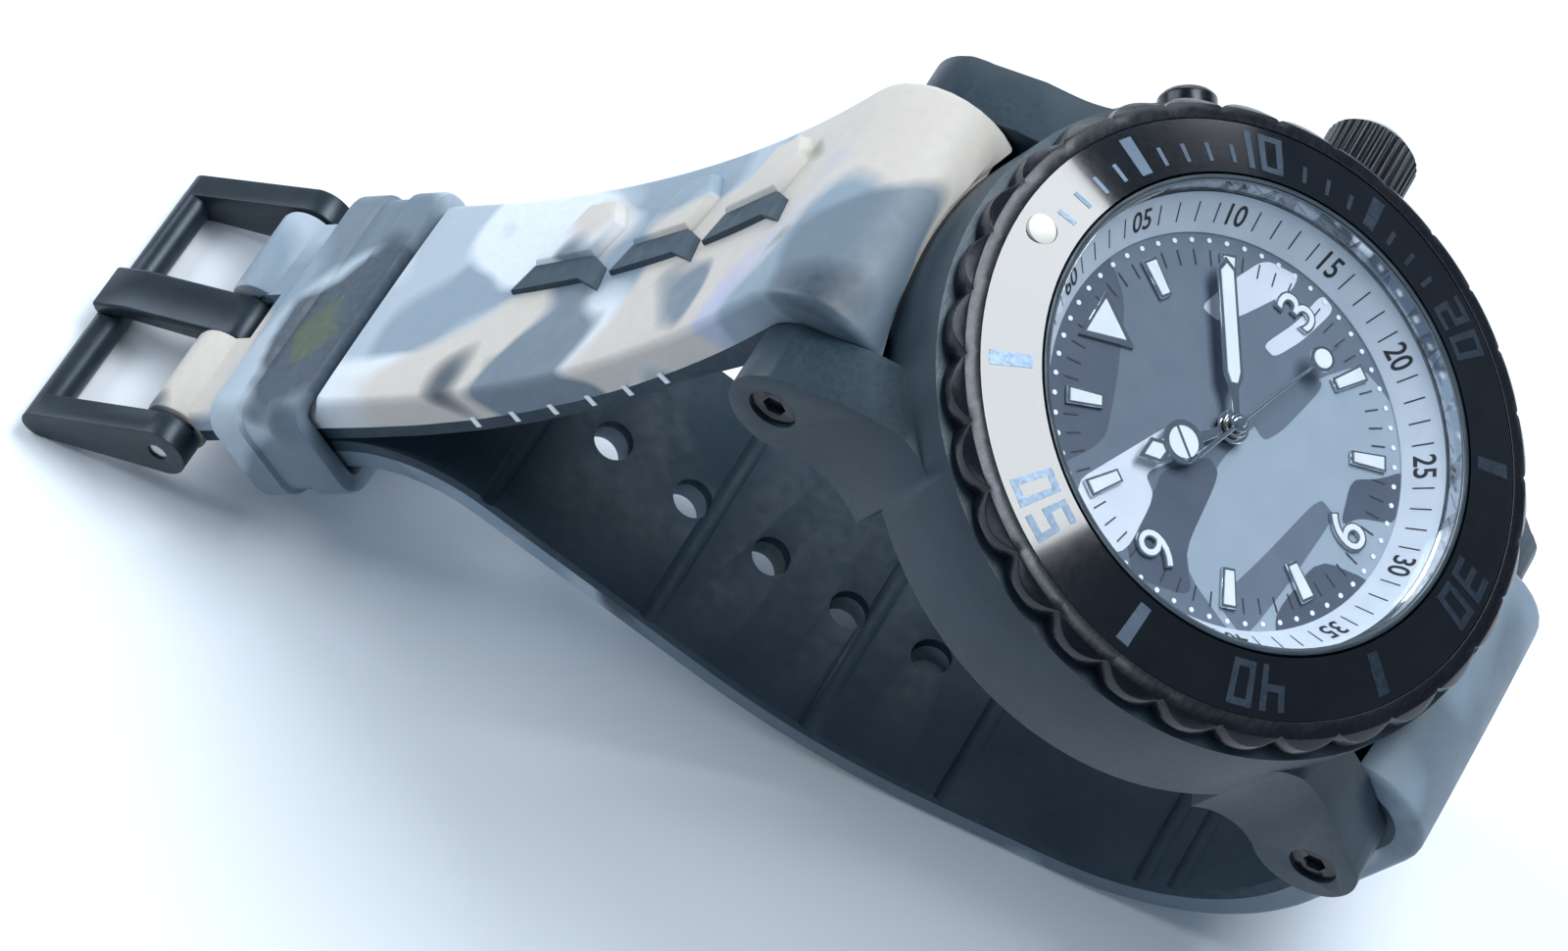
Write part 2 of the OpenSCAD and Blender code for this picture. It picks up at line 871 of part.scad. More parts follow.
// Inner layer's outline: fills the nose round the bar and lines the strap
module long_liner_outline() {
  inner = [[long_arc, long_turn], [long_straight - loop_r, 0]];
  under = [for (k = [0 : 17]) long_bar + nose_r * out_dir(long_start_h - 75 - 6 * k)];
  polygon(concat(
    trail(concat([long_nose], inner), long_top, 180 + long_start_h, liner_t - long_t / 2),
    reverse(rest_of(trail(inner, long_start, long_start_h, -long_t / 2), 2)),
    under));
}

module strap_12_liner() {
  color("#1d2530")
    place_head()
      difference() {
        across_width(strap_w)
          long_liner_outline();
        case_envelope(gap);
        cross_shaft(long_bar, bar_r + slip, strap_w);
      }
}

module tail_skin_outline() {
  polygon(band(concat([tail_nose], tail_path), tail_top, 180, -tail_t / 2, tail_t / 2 - liner_t));
}

module tail_liner_outline() {
  under = [for (k = [0 : 17]) tail_bar - nose_r * out_dir(75 + 6 * k)];
  polygon(concat(
    trail(concat([tail_nose], tail_path), tail_top, 180, tail_t / 2 - liner_t),
    reverse(rest_of(trail(tail_path, tail_start, 0, tail_t / 2), 1)),
    under));
}

// Adjustment holes, square to the strap, counted back from the tip
module adjustment_holes() {
  for (k = [0 : holes - 1]) {
    s = first_hole + k * hole_pitch;
    p = point_at(tail_path, tail_start, 0, s);
    translate([0, p[0], p[1]])
      rotate([p[2], 0, 0])
        rotate([90, 0, 0])
          translate([0, 0, -5])
            cylinder(r = hole_d / 2, h = 10);
  }
}

// Point and heading a given length along a path
function point_at(path, p, h, s, i = 0) =
  let (part = path[i])
  (s <= part[0] || i == len(path) - 1)
    ? concat(step(p, h, s, part[1] * s / part[0]), [h + part[1] * s / part[0]])
    : point_at(path, step(p, h, part[0], part[1]), h + part[1], s - part[0], i + 1);

// Rounds the strap's tip, seen from above
module tip_cut() {
  tip = point_at(tail_path, tail_start, 0, tail_length);
  translate([0, tip[0], tip[1]])
    rotate([tip[2], 0, 0])
      rotate([90, 0, 0])
        difference() {
          translate([-strap_w, -7, -6])
            cube([2 * strap_w, 14, 12]);
          translate([0, 20, -7])
            cylinder(r = 20, h = 14);
        }
}

module strap_6_outer() {
  color("#c3ccd4")
    place_head()
      difference() {
        across_width(strap_w)
          tail_skin_outline();
        case_envelope(gap);
        adjustment_holes();
        tip_cut();
      }
}

module strap_6_liner() {
  color("#1d2530")
    place_head()
      difference() {
        across_width(strap_w)
          tail_liner_outline();
        case_envelope(gap);
        cross_shaft(tail_bar, bar_r + slip, strap_w);
        adjustment_holes();
        tip_cut();
      }
}

module buckle_bar() {
  color("#8f949b")
    place_head()
      cross_shaft(pin_at, pin_r, leg_out - 0.2);
}

module keeper() {
  at = long_bend_end + keeper_from * dir(long_h);
  hollow = [2 * keeper_in_x, keeper_top - keeper_bottom];
  shell = hollow + 2 * keeper_wall * [1, 1];
  color("#aab4bd")
    place_head()
      translate([0, at[0], at[1]])
        rotate([long_h, 0, 0])
          difference() {
            keeper_block(shell, keeper_len, keeper_bottom - keeper_wall, 2.2);
            translate([0, 0, 1])
              keeper_block(hollow, keeper_len + 2, keeper_bottom, 0.6);
          }
}

// Upright block with round corners: width, depth, running down from z = 0
module keeper_block(size, length, from, r) {
  translate([0, 0, -length])
    linear_extrude(length)
      for (x = [-1, 1], y = [0, 1]) {
        translate([x * (size[0] / 2 - r), from + (y == 0 ? r : size[1] - r)])
          circle(r = r);
        translate([-size[0] / 2, from + r])
          square([size[0], size[1] - 2 * r]);
        translate([-size[0] / 2 + r, from])
          square([size[0] - 2 * r, size[1]]);
      }
}

// Leg of the buckle: a bar tapering from the pin to the end bar
module leg_outline() {
  side = out_dir(buckle_h);
  polygon([pin_at + leg_pin_r * side, end_bar_at + end_bar_r * side,
    end_bar_at - end_bar_r * side, pin_at - leg_pin_r * side]);
  translate(pin_at)
    circle(r = leg_pin_r);
  translate(end_bar_at)
    circle(r = end_bar_r);
}

module buckle_frame() {
  color("#2b2f36")
    place_head()
      difference() {
        union() {
          for (side = [-1, 1])
            translate([side * (leg_in + leg_t / 2), 0, 0])
              across_width(leg_t)
                leg_outline();
          cross_shaft(end_bar_at, end_bar_r, leg_out);
        }
        cross_shaft(pin_at, pin_r + slip, leg_out + 1);
        translate([0, end_bar_at[0], end_bar_at[1]])
          rotate([buckle_h, 0, 0])
            translate([-tongue_w / 2 - 0.3, end_bar_r - notch_depth, -3])
              cube([tongue_w + 0.6, 2, 6]);
      }
}

module buckle_tongue() {
  low = end_bar_r - notch_depth + touch;
  color("#2f333b")
    place_head()
      translate([0, pin_at[0], pin_at[1]])
        rotate([buckle_h, 0, 0])
          difference() {
            union() {
              across_width(tongue_w)
                polygon([[0, 0], [tongue_eye_r, 0], [low + tongue_t, 2 - buckle_len],
                  [low + tongue_t - 0.3, -buckle_len - 1.1], [low, -buckle_len - 1.1],
                  [low, 2 - buckle_len], [0, -1.6]]);
              cross_shaft([0, 0], tongue_eye_r, tongue_w / 2);
            }
            cross_shaft([0, 0], pin_r + slip, tongue_w);
          }
}

// ---- bezel ---------------------------------------------------------------

// Ring whose outside is a row of round lobes meeting in sharp notches
module bezel_ring() {
  color("#20232a")
    place_head()
      intersection() {
        rotate_extrude()
          polygon([[bezel_bore_r, bezel_bottom], [bezel_r - bezel_chamfer, bezel_bottom],
            [bezel_r, bezel_bottom + bezel_chamfer], [bezel_r, bezel_side_top],
            [bezel_r - bezel_shoulder, bezel_shoulder_top], [insert_r + touch, insert_out_z + 0.08],
            [insert_r + touch, insert_out_z - insert_t], [bezel_bore_r, insert_in_z - insert_slot]]);
        union() {
          cylinder(r = lobe_at, h = bezel_top);
          for (k = [0 : lobes - 1])
            rotate([0, 0, (k + 0.5) * 360 / lobes])
              translate([lobe_at, 0, 0])
                cylinder(r = lobe_r, h = bezel_top);
        }
      }
}

module bezel_insert() {
  color("#0d0f13")
    place_head()
      difference() {
        rotate_extrude()
          polygon([[bezel_bore_r + touch, insert_in_z - insert_slot + touch],
            [insert_r, insert_out_z - insert_t + touch], [insert_r, insert_out_z],
            [bezel_bore_r + touch, insert_in_z]]);
        disc([0, pearl_at], pearl_r + slip, [0, 6]);
      }
}

module bezel_pearl() {
  color("#f5f5ee")
    place_head()
      translate([0, pearl_at, 0])
        intersection() {
          disc([0, 0], pearl_r, [3.03, 5]);
          translate([0, 0, 2.4])
            sphere(r = 1.85);
        }
}

// ---- crown and pusher ----------------------------------------------------

module crown() {
  color("#1b1e24")
    place_head()
      difference() {
        translate([crown_in, 0, stem_z])
          rotate([0, 90, 0])
            rotate_extrude()
              polygon([[0, 0], [crown_d / 2 - 0.3, 0], [crown_d / 2, 0.4],
                [crown_d / 2, crown_len - crown_round], [crown_d / 2 - crown_round, crown_len],
                [0, crown_len]]);
        radial_shaft(0, stem_z, crown_tube_r + 0.2, crown_in - 1, stem_out);
        for (k = [1 : crown_grooves])
          translate([crown_in + 0.6, 0, stem_z])
            rotate([360 * k / crown_grooves, 0, 0])
              translate([0, 0, crown_d / 2 + 0.1])
                rotate([0, 90, 0])
                  cylinder(r = crown_groove_r, h = crown_groove_len);
      }
}

module crown_stem() {
  color("#9a9da3")
    place_head() {
      radial_shaft(0, stem_z, stem_r, stem_in, stem_step);
      radial_shaft(0, stem_z, stem_head_r, stem_step, stem_out);
    }
}

module crown_gasket() {
  color("#2b2b2b")
    place_head()
      difference() {
        radial_shaft(0, stem_z, crown_tube_bore - touch, 22, 23.2);
        radial_shaft(0, stem_z, stem_head_r + slip, 21, 24);
      }
}

module led_pusher() {
  color("#1b1e24")
    place_head() {
      radial_shaft(pusher_w, pusher_z, pusher_stem_r, 16.2, 23.6);
      rotate([0, 0, pusher_w])
        translate([23.4, 0, pusher_z])
          rotate([0, 90, 0])
            rotate_extrude()
              polygon([[0, 0], [pusher_d / 2, 0], [pusher_d / 2, 2.8], [pusher_d / 2 - 0.5, 3.3], [0, 3.3]]);
    }
}

module pusher_spring() {
  color("#b9bdc3")
    place_head()
      difference() {
        radial_shaft(pusher_w, pusher_z, 1.9, 22.4, 23.35);
        radial_shaft(pusher_w, pusher_z, pusher_stem_r + 0.1, 22, 24);
      }
}

// ---- hands and wheels ----------------------------------------------------

module hub(r, hole, z) {
  difference() {
    disc([0, 0], r, z);
    disc([0, 0], hole, [z[0] - 1, z[1] + 1]);
  }
}

// Hour hand: a ring with one cross-bar on a slim neck, then a broad point
module hour_hand() {
  color("#e9ebee")
    place_head()
      rotate([0, 0, -hour_turn])
        difference() {
          translate([0, 0, hour_z])
            linear_extrude(hand_t) {
              circle(r = 1.25);
              polygon([[-0.35, 0.8], [0.35, 0.8], [0.35, 3.3], [-0.35, 3.3]]);
              translate([0, 4.6])
                difference() {
                  circle(r = 1.6);
                  circle(r = 1.2);
                }
              translate([-1.3, 4.45])
                square([2.6, 0.3]);
              polygon([[-0.55, 6.1], [0.55, 6.1], [1.05, 7.1], [0, 8.6], [-1.05, 7.1]]);
            }
          disc([0, 0], hour_out, [0, 3]);
        }
}

module hour_wheel() {
  color("#d8c38e")
    place_head()
      difference() {
        union() {
          gear(hour_n, hour_m, hour_level, hour_phase);
          disc([0, 0], hour_out, [hour_level[0] + lap, hour_z + hand_t]);
        }
        disc([0, 0], hour_in, [-2, 3]);
      }
}

module minute_hand() {
  color("#e9ebee")
    place_head()
      rotate([0, 0, -minute_turn])
        difference() {
          translate([0, 0, minute_z])
            linear_extrude(hand_t) {
              circle(r = 0.95);
              polygon([[-0.3, 0.6], [0.3, 0.6], [0.75, 3.2], [0.75, 11.6], [0, 12.5], [-0.75, 11.6], [-0.75, 3.2]]);
            }
          disc([0, 0], cannon_out, [0, 3]);
        }
}

module centre_wheel() {
  color("#d8c38e")
    place_head()
      difference() {
        union() {
          gear(centre_n, centre_m, centre_level, centre_phase);
          gear(cannon_n, motion_m, cannon_level, centre_phase);
          disc([0, 0], cannon_out, [centre_level[0] - 0.1, minute_z + hand_t]);
        }
        disc([0, 0], cannon_in, [-4, 3]);
      }
}

module seconds_hand() {
  color("#e9ebee")
    place_head()
      rotate([0, 0, -seconds_turn])
        difference() {
          translate([0, 0, seconds_z])
            linear_extrude(0.18) {
              circle(r = 0.7);
              translate([0, 9.3])
                circle(r = 0.95);
              polygon([[-0.2, -4.6], [0.2, -4.6], [0.12, 0], [0.08, 12.2], [-0.08, 12.2], [-0.12, 0]]);
            }
          disc([0, 0], arbor_r, [0, 3]);
        }
}

module seconds_wheel() {
  color("#d8c38e")
    place_head() {
      disc([0, 0], arbor_r, [pivot_out, seconds_z + 0.3]);
      gear(seconds_n, seconds_m, seconds_level, 0);
      gear(seconds_pinion_n, third_m, seconds_pinion_level, 0);
    }
}

module third_wheel() {
  color("#d8c38e")
    place_head()
      translate(third_at) {
        disc([0, 0], arbor_r, [pivot_out, pivot_in]);
        gear(third_n, third_m, third_level, third_phase);
        gear(third_pinion_n, centre_m, third_pinion_level, third_phase);
      }
}

module motion_wheel() {
  color("#d8c38e")
    place_head()
      translate(motion_at)
        difference() {
          union() {
            gear(motion_n, motion_m, motion_level, motion_phase);
            gear(motion_pinion_n, hour_m, motion_pinion_level, motion_phase);
          }
          disc([0, 0], stud_r + slip, [-2, 0]);
        }
}

module fifth_wheel() {
  color("#d8c38e")
    place_head()
      translate(fifth_at) {
        disc([0, 0], arbor_r, [pivot_out, pivot_in]);
        gear(fifth_n, fifth_m, fifth_level, fifth_phase);
        gear(fifth_pinion_n, seconds_m, fifth_pinion_level, fifth_phase);
      }
}

module rotor() {
  color("#5b6068")
    place_head()
      translate(rotor_at) {
        disc([0, 0], arbor_r, [pivot_out, pivot_in]);
        disc([0, 0], rotor_r, rotor_level);
        gear(rotor_pinion_n, fifth_m, rotor_pinion_level, rotor_phase);
      }
}

case_middle();
case_back();
case_back_gasket();
crystal();
crystal_gasket();
chapter_ring();
dial();
applied_indices();
applied_numerals();
movement_holder();
main_plate();
train_bridge();
bridge_screws();
battery_cell();
circuit_board();
quartz_can();
motor_coil();
motor_stator();
led_lamp();
crown_tube();
pusher_tube();
click_spring();
lug_bars();
lug_screws();
strap_12_outer();
strap_12_liner();
strap_6_outer();
strap_6_liner();
buckle_bar();
bezel_ring();
bezel_insert();
bezel_pearl();
crown();
crown_stem();
crown_gasket();
led_pusher();
pusher_spring();
hour_hand();
hour_wheel();
minute_hand();
centre_wheel();
seconds_hand();
seconds_wheel();
third_wheel();
motion_wheel();
fifth_wheel();
rotor();
keeper();
buckle_frame();
buckle_tongue();
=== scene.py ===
import math

import bmesh
import bpy
from mathutils import Matrix, Vector


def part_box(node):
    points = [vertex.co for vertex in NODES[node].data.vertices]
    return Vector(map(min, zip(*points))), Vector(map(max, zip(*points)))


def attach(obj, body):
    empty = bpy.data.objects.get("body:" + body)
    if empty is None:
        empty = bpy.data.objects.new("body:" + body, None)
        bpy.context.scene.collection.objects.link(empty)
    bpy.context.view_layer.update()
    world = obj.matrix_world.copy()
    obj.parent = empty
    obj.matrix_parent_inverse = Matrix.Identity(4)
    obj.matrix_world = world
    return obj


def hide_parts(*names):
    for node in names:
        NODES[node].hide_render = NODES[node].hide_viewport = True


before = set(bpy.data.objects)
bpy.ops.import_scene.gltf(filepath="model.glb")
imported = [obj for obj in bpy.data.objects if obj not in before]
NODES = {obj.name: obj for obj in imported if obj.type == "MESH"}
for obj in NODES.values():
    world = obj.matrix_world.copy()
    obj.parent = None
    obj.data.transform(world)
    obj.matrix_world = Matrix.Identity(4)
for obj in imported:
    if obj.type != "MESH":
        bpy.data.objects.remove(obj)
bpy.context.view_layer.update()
MM = 0.001
PI = math.pi

# The watch's own axes: +X to 3 o'clock, +Y to 12, +Z out of the dial, in millimetres
TILT = math.radians(30)
DIAL_UP = Vector((math.sin(TILT), 0, math.cos(TILT)))
low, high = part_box("dial")
CENTRE = (low + high) / 2 + 0.25 * MM * DIAL_UP
TURN = Matrix.Rotation(TILT, 4, "Y") @ Matrix.Rotation(PI / 2, 4, "Z")
HEAD = Matrix.Translation(CENTRE) @ TURN @ Matrix.Scale(MM, 4)


# ---- camera and light ----------------------------------------------------

def look(eye, right, up):
    back = right.cross(up).normalized()
    rot = Matrix((right.normalized(), back.cross(right).normalized(), back)).transposed().to_4x4()
    return Matrix.Translation(eye) @ rot


cam_data = bpy.data.cameras.new("camera")
cam_data.lens = 139.95
cam_data.sensor_width = 36
cam_data.clip_end = 20
cam = bpy.data.objects.new("camera", cam_data)
bpy.context.scene.collection.objects.link(cam)
turn3 = TURN.to_3x3()
cam.matrix_world = look(HEAD @ Vector((-237.2, 112.3, 336.5)),
                        turn3 @ Vector((0.459, -0.747, 0.481)), turn3 @ Vector((0.721, 0.629, 0.289)))
bpy.context.scene.camera = cam


def area(name, direction, distance, size, watts, color, along=(0, 1, 0)):
    data = bpy.data.lights.new(name, "AREA")
    data.shape = "RECTANGLE"
    data.size, data.size_y = size
    data.energy = watts
    data.color = color
    light = bpy.data.objects.new(name, data)
    bpy.context.scene.collection.objects.link(light)
    away = Vector(direction).normalized()
    target = CENTRE * 0.5
    light.location = target + away * distance
    side_axis = Vector(along).cross(away).normalized()
    light.rotation_euler = Matrix((side_axis, away.cross(side_axis), away)).transposed().to_euler()


area("key", (0.34, 0.36, 0.86), 0.7, (0.30, 0.50), 5.5, (0.93, 0.97, 1.0), (-0.55, 0.55, 0))
area("left", (-0.95, 0.05, 0.62), 0.9, (0.7, 0.5), 5.6, (0.90, 0.95, 1.0))
area("back", (-0.2, 1.0, 0.42), 1.0, (1.1, 0.35), 4.0, (0.92, 0.96, 1.0))
area("front", (-0.25, -1.0, 0.75), 1.1, (0.5, 0.4), 1.6, (0.80, 0.90, 1.0))

world = bpy.data.worlds.new("studio")
world.use_nodes = True
world.node_tree.nodes["Background"].inputs[0].default_value = (0.62, 0.80, 1.0, 1)
world.node_tree.nodes["Background"].inputs[1].default_value = 0.20
bpy.context.scene.world = world
bpy.context.scene.view_settings.view_transform = "Standard"


# ---- strap paths, side view [towards 12, up] -----------------------------

def heading(h):
    return math.sin(math.radians(h)), -math.cos(math.radians(h))


def side(h):
    return math.cos(math.radians(h)), math.sin(math.radians(h))


def step(p, h, length, turn):
    if turn == 0:
        d = heading(h)
        return p[0] + length * d[0], p[1] + length * d[1]
    r = length / math.radians(turn)
    a, b = side(h), side(h + turn)
    return p[0] + r * (a[0] - b[0]), p[1] + r * (a[1] - b[1])


NOSE_R, LONG_T, TAIL_T, LINER_T, HALF_W = 6.2, 4.0, 3.2, 1.1, 10.8
BAR_Y, BAR_Z = 25.6, -10.9
LONG_H, LONG_TURN, LONG_ARC = 2.0, 22.0, 48.5
o = side(LONG_H)
LONG_START = (BAR_Y + (NOSE_R - LONG_T / 2) * o[0], BAR_Z + (NOSE_R - LONG_T / 2) * o[1])
LONG_TOP = (2 * BAR_Y - LONG_START[0], 2 * BAR_Z - LONG_START[1])
LONG_NOSE = ((NOSE_R - LONG_T / 2) * PI, -180)
LONG_END = step(LONG_START, LONG_H, LONG_ARC, LONG_TURN)
THIN_FROM, LONG_STRAIGHT, THIN_DROP = 4.3, 20.8, 1.2
H_END = LONG_H + LONG_TURN

def on_strap(s, across, off):
    """Point on the 12 o'clock half: length along it from the bar, across it, off its middle."""
    if s <= LONG_ARC:
        p, h = step(LONG_START, LONG_H, s, LONG_TURN * s / LONG_ARC), LONG_H + LONG_TURN * s / LONG_ARC
    else:
        p, h = step(LONG_END, H_END, s - LONG_ARC, 0), H_END
    o2 = side(h)
    return across, p[0] + off * o2[0], p[1] + off * o2[1]


# ---- materials -----------------------------------------------------------

class Mat:
    """A Principled material with helpers for its pattern nodes. Pattern coordinates are in metres."""

    def __init__(self, name, color, rough, metal=0.0, **sockets):
        self.m = bpy.data.materials.new(name)
        self.m.use_nodes = True
        self.n = self.m.node_tree.nodes
        self.l = self.m.node_tree.links
        self.p = self.n["Principled BSDF"]
        self.set("Base Color", (*color, 1))
        self.set("Roughness", rough)
        self.set("Metallic", metal)
        for key, value in sockets.items():
            self.set(key.replace("_", " "), value)
        self.coords = self.n.new("ShaderNodeTexCoord").outputs["Object"]

    def set(self, socket, value):
        self.p.inputs[socket].default_value = value

    def node(self, kind, values=(), **props):
        made = self.n.new(kind)
        for key, value in props.items():
            setattr(made, key, value)
        for key, value in dict(values).items():
            if hasattr(value, "is_output"):
                self.l.new(value, made.inputs[key])
            else:
                made.inputs[key].default_value = value
        return made

    def stretch(self, scale, turn=(0, 0, 0)):
        return self.node("ShaderNodeMapping", {"Vector": self.coords, "Scale": scale, "Rotation": turn}).outputs[0]

    def noise(self, scale, detail=3.0, distortion=0.0, vector=None, rough=0.5):
        return self.node("ShaderNodeTexNoise", {
            "Vector": self.coords if vector is None else vector, "Scale": scale, "Detail": detail,
            "Distortion": distortion, "Roughness": rough}).outputs["Fac"]

    def steps(self, fac, stops, kind="LINEAR"):
        ramp = self.node("ShaderNodeValToRGB", {"Fac": fac})
        ramp.color_ramp.interpolation = kind
        while len(ramp.color_ramp.elements) < len(stops):
            ramp.color_ramp.elements.new(0.5)
        for element, (pos, color) in zip(ramp.color_ramp.elements, stops):
            element.position = pos
            element.color = (*color, 1) if len(color) == 3 else color
        return ramp.outputs["Color"]

    def mix(self, fac, a, b, kind="MIX"):
        made = self.node("ShaderNodeMix", data_type="RGBA", blend_type=kind)
        for index, value in ((0, fac), (6, a), (7, b)):
            if hasattr(value, "is_output"):
                self.l.new(value, made.inputs[index])
            elif index == 0:
                made.inputs[0].default_value = value
            else:
                made.inputs[index].default_value = (*value, 1)
        return made.outputs[2]

    def span(self, value, low, high, a=0.0, b=1.0):
        return self.node("ShaderNodeMapRange", {"Value": value, "From Min": low, "From Max": high,
                                                "To Min": a, "To Max": b}).outputs[0]

    def color(self, out):
        self.l.new(out, self.p.inputs["Base Color"])
        return self

    def rough(self, out):
        self.l.new(out, self.p.inputs["Roughness"])
        return self

    def bump(self, height, distance, strength=1.0, radius=None):
        values = {"Height": height, "Distance": distance, "Strength": strength}
        if radius:
            values["Normal"] = self.node("ShaderNodeBevel", {"Radius": radius}, samples=4).outputs[0]
        self.l.new(self.node("ShaderNodeBump", values).outputs[0], self.p.inputs["Normal"])
        return self

    def worn(self, base, light, scale, low=0.35, high=0.75):
        """Base colour with slow cloudy variation towards a second colour."""
        self.color(self.mix(self.span(self.noise(scale, 4), low, high), base, light))
        return self


def metal(name, color, light, rough, grain, bump, stretch=(1, 1, 1), metallic=1.0, radius=None, **sockets):
    """Metal with cloudy colour, uneven gloss and a fine drawn grain."""
    m = Mat(name, color, rough, metallic, **sockets)
    m.worn(color, light, 260)
    fine = m.noise(grain, 5, vector=m.stretch(stretch), rough=0.65)
    m.rough(m.span(fine, 0.3, 0.7, rough * 0.8, min(1, rough * 1.25)))
    m.bump(fine, bump, 0.6, radius)
    return m.m


def camo(name, base, patches, rough, bump, scale, blots=()):
    """Printed camouflage: a base colour, noise patches, then blots (centre, along, across, colour)."""
    m = Mat(name, base, rough)
    current = m.mix(m.span(m.noise(scale * 0.55, 2), 0.35, 0.65), base, tuple(c * 0.9 for c in base))
    for k, (color, at, size, sweep) in enumerate(patches):
        field = m.noise(scale * size, 0.7, 0.4, m.stretch((1 + 0.35 * (k % 2), 1, 1.4), (0.7 * k, 0.5 * k, sweep)))
        current = m.mix(m.steps(field, [(at, (0, 0, 0)), (at + 0.045, (1, 1, 1))]), current, color)
    swirl = m.node("ShaderNodeTexNoise", {"Vector": m.coords, "Scale": 120, "Detail": 2.0}).outputs["Color"]
    warp = m.node("ShaderNodeVectorMath", {0: swirl, 1: (0.5, 0.5, 0.5)}, operation="SUBTRACT").outputs[0]
    warp = m.node("ShaderNodeVectorMath", {0: warp, 1: (0.009, 0.009, 0.009)}, operation="MULTIPLY").outputs[0]
    warped = m.node("ShaderNodeVectorMath", {0: m.coords, 1: warp}, operation="ADD").outputs[0]
    for centre, along_r, across_r, color in blots:
        grow = (1 / (along_r * MM), 1 / (across_r * MM), 1 / (along_r * MM))
        middle = HEAD @ Vector(centre)
        away = m.node("ShaderNodeVectorMath", {0: warped, 1: middle}, operation="SUBTRACT").outputs[0]
        away = m.node("ShaderNodeVectorMath", {0: away, 1: grow}, operation="MULTIPLY").outputs[0]
        reach = m.node("ShaderNodeVectorMath", {0: away}, operation="LENGTH").outputs["Value"]
        current = m.mix(m.span(reach, 0.88, 1.12, 1.0, 0.0), current, color)
    speck = m.noise(1400, 4)
    current = m.mix(m.span(speck, 0.3, 0.75, 0, 0.12), current, (0.22, 0.25, 0.29))
    m.color(current)
    m.rough(m.span(m.noise(420, 4), 0.3, 0.7, rough * 0.85, rough * 1.2))
    m.bump(m.noise(5200, 4, rough=0.7), bump, 0.5)
    return m.m


def rubber(name, color, light, rough):
    m = Mat(name, color, rough, 0, Specular_IOR_Level=0.3)
    m.worn(color, light, 150)
    m.rough(m.span(m.noise(900, 4), 0.3, 0.7, rough * 0.85, rough * 1.15))
    m.bump(m.noise(6500, 4, rough=0.7), 0.00004, 0.6)
    return m.m


def plastic(name, color, light, rough, bump=0.00001, **sockets):
    m = Mat(name, color, rough, 0, **sockets)
    m.worn(color, light, 420)
    m.rough(m.span(m.noise(2600, 4), 0.3, 0.7, rough * 0.85, rough * 1.2))
    m.bump(m.noise(9000, 3), bump, 0.4)
    return m.m


PRINT = {"white": (0.60, 0.65, 0.71), "light": (0.34, 0.41, 0.48), "sand": (0.50, 0.47, 0.43),
         "mid": (0.20, 0.27, 0.34), "grey": (0.11, 0.155, 0.20), "navy": (0.026, 0.045, 0.070),
         "lilac": (0.38, 0.40, 0.54), "green": (0.12, 0.15, 0.10), "moss": (0.045, 0.070, 0.038)}
STRAP_PATCHES = [(PRINT["light"], 0.46, 1.0, 0.4), (PRINT["white"], 0.53, 0.9, 0.1), (PRINT["sand"], 0.585, 0.8, 1.3),
                 (PRINT["lilac"], 0.62, 1.0, 2.9), (PRINT["green"], 0.67, 1.3, 0.9), (PRINT["grey"], 0.62, 1.1, 1.8),
                 (PRINT["navy"], 0.66, 1.0, 2.2)]
# The keeper's print: grey patches only, under its dark patch
KEEPER_PATCHES = [(PRINT["grey"], 0.47, 1.0, 0.4), (PRINT["light"], 0.60, 0.8, 1.3)]
# The tail's print with painted shade: its grey and navy patches spread wider than on the long half, so the tail reads
# darker, as if lying in shade
TAIL_PRINT_WITH_SHADE = [(PRINT["grey"], 0.46, 1.0, 0.4), (PRINT["light"], 0.62, 0.8, 1.3), (PRINT["green"], 0.63, 0.9, 0.1),
                (PRINT["navy"], 0.62, 1.15, 2.2)]
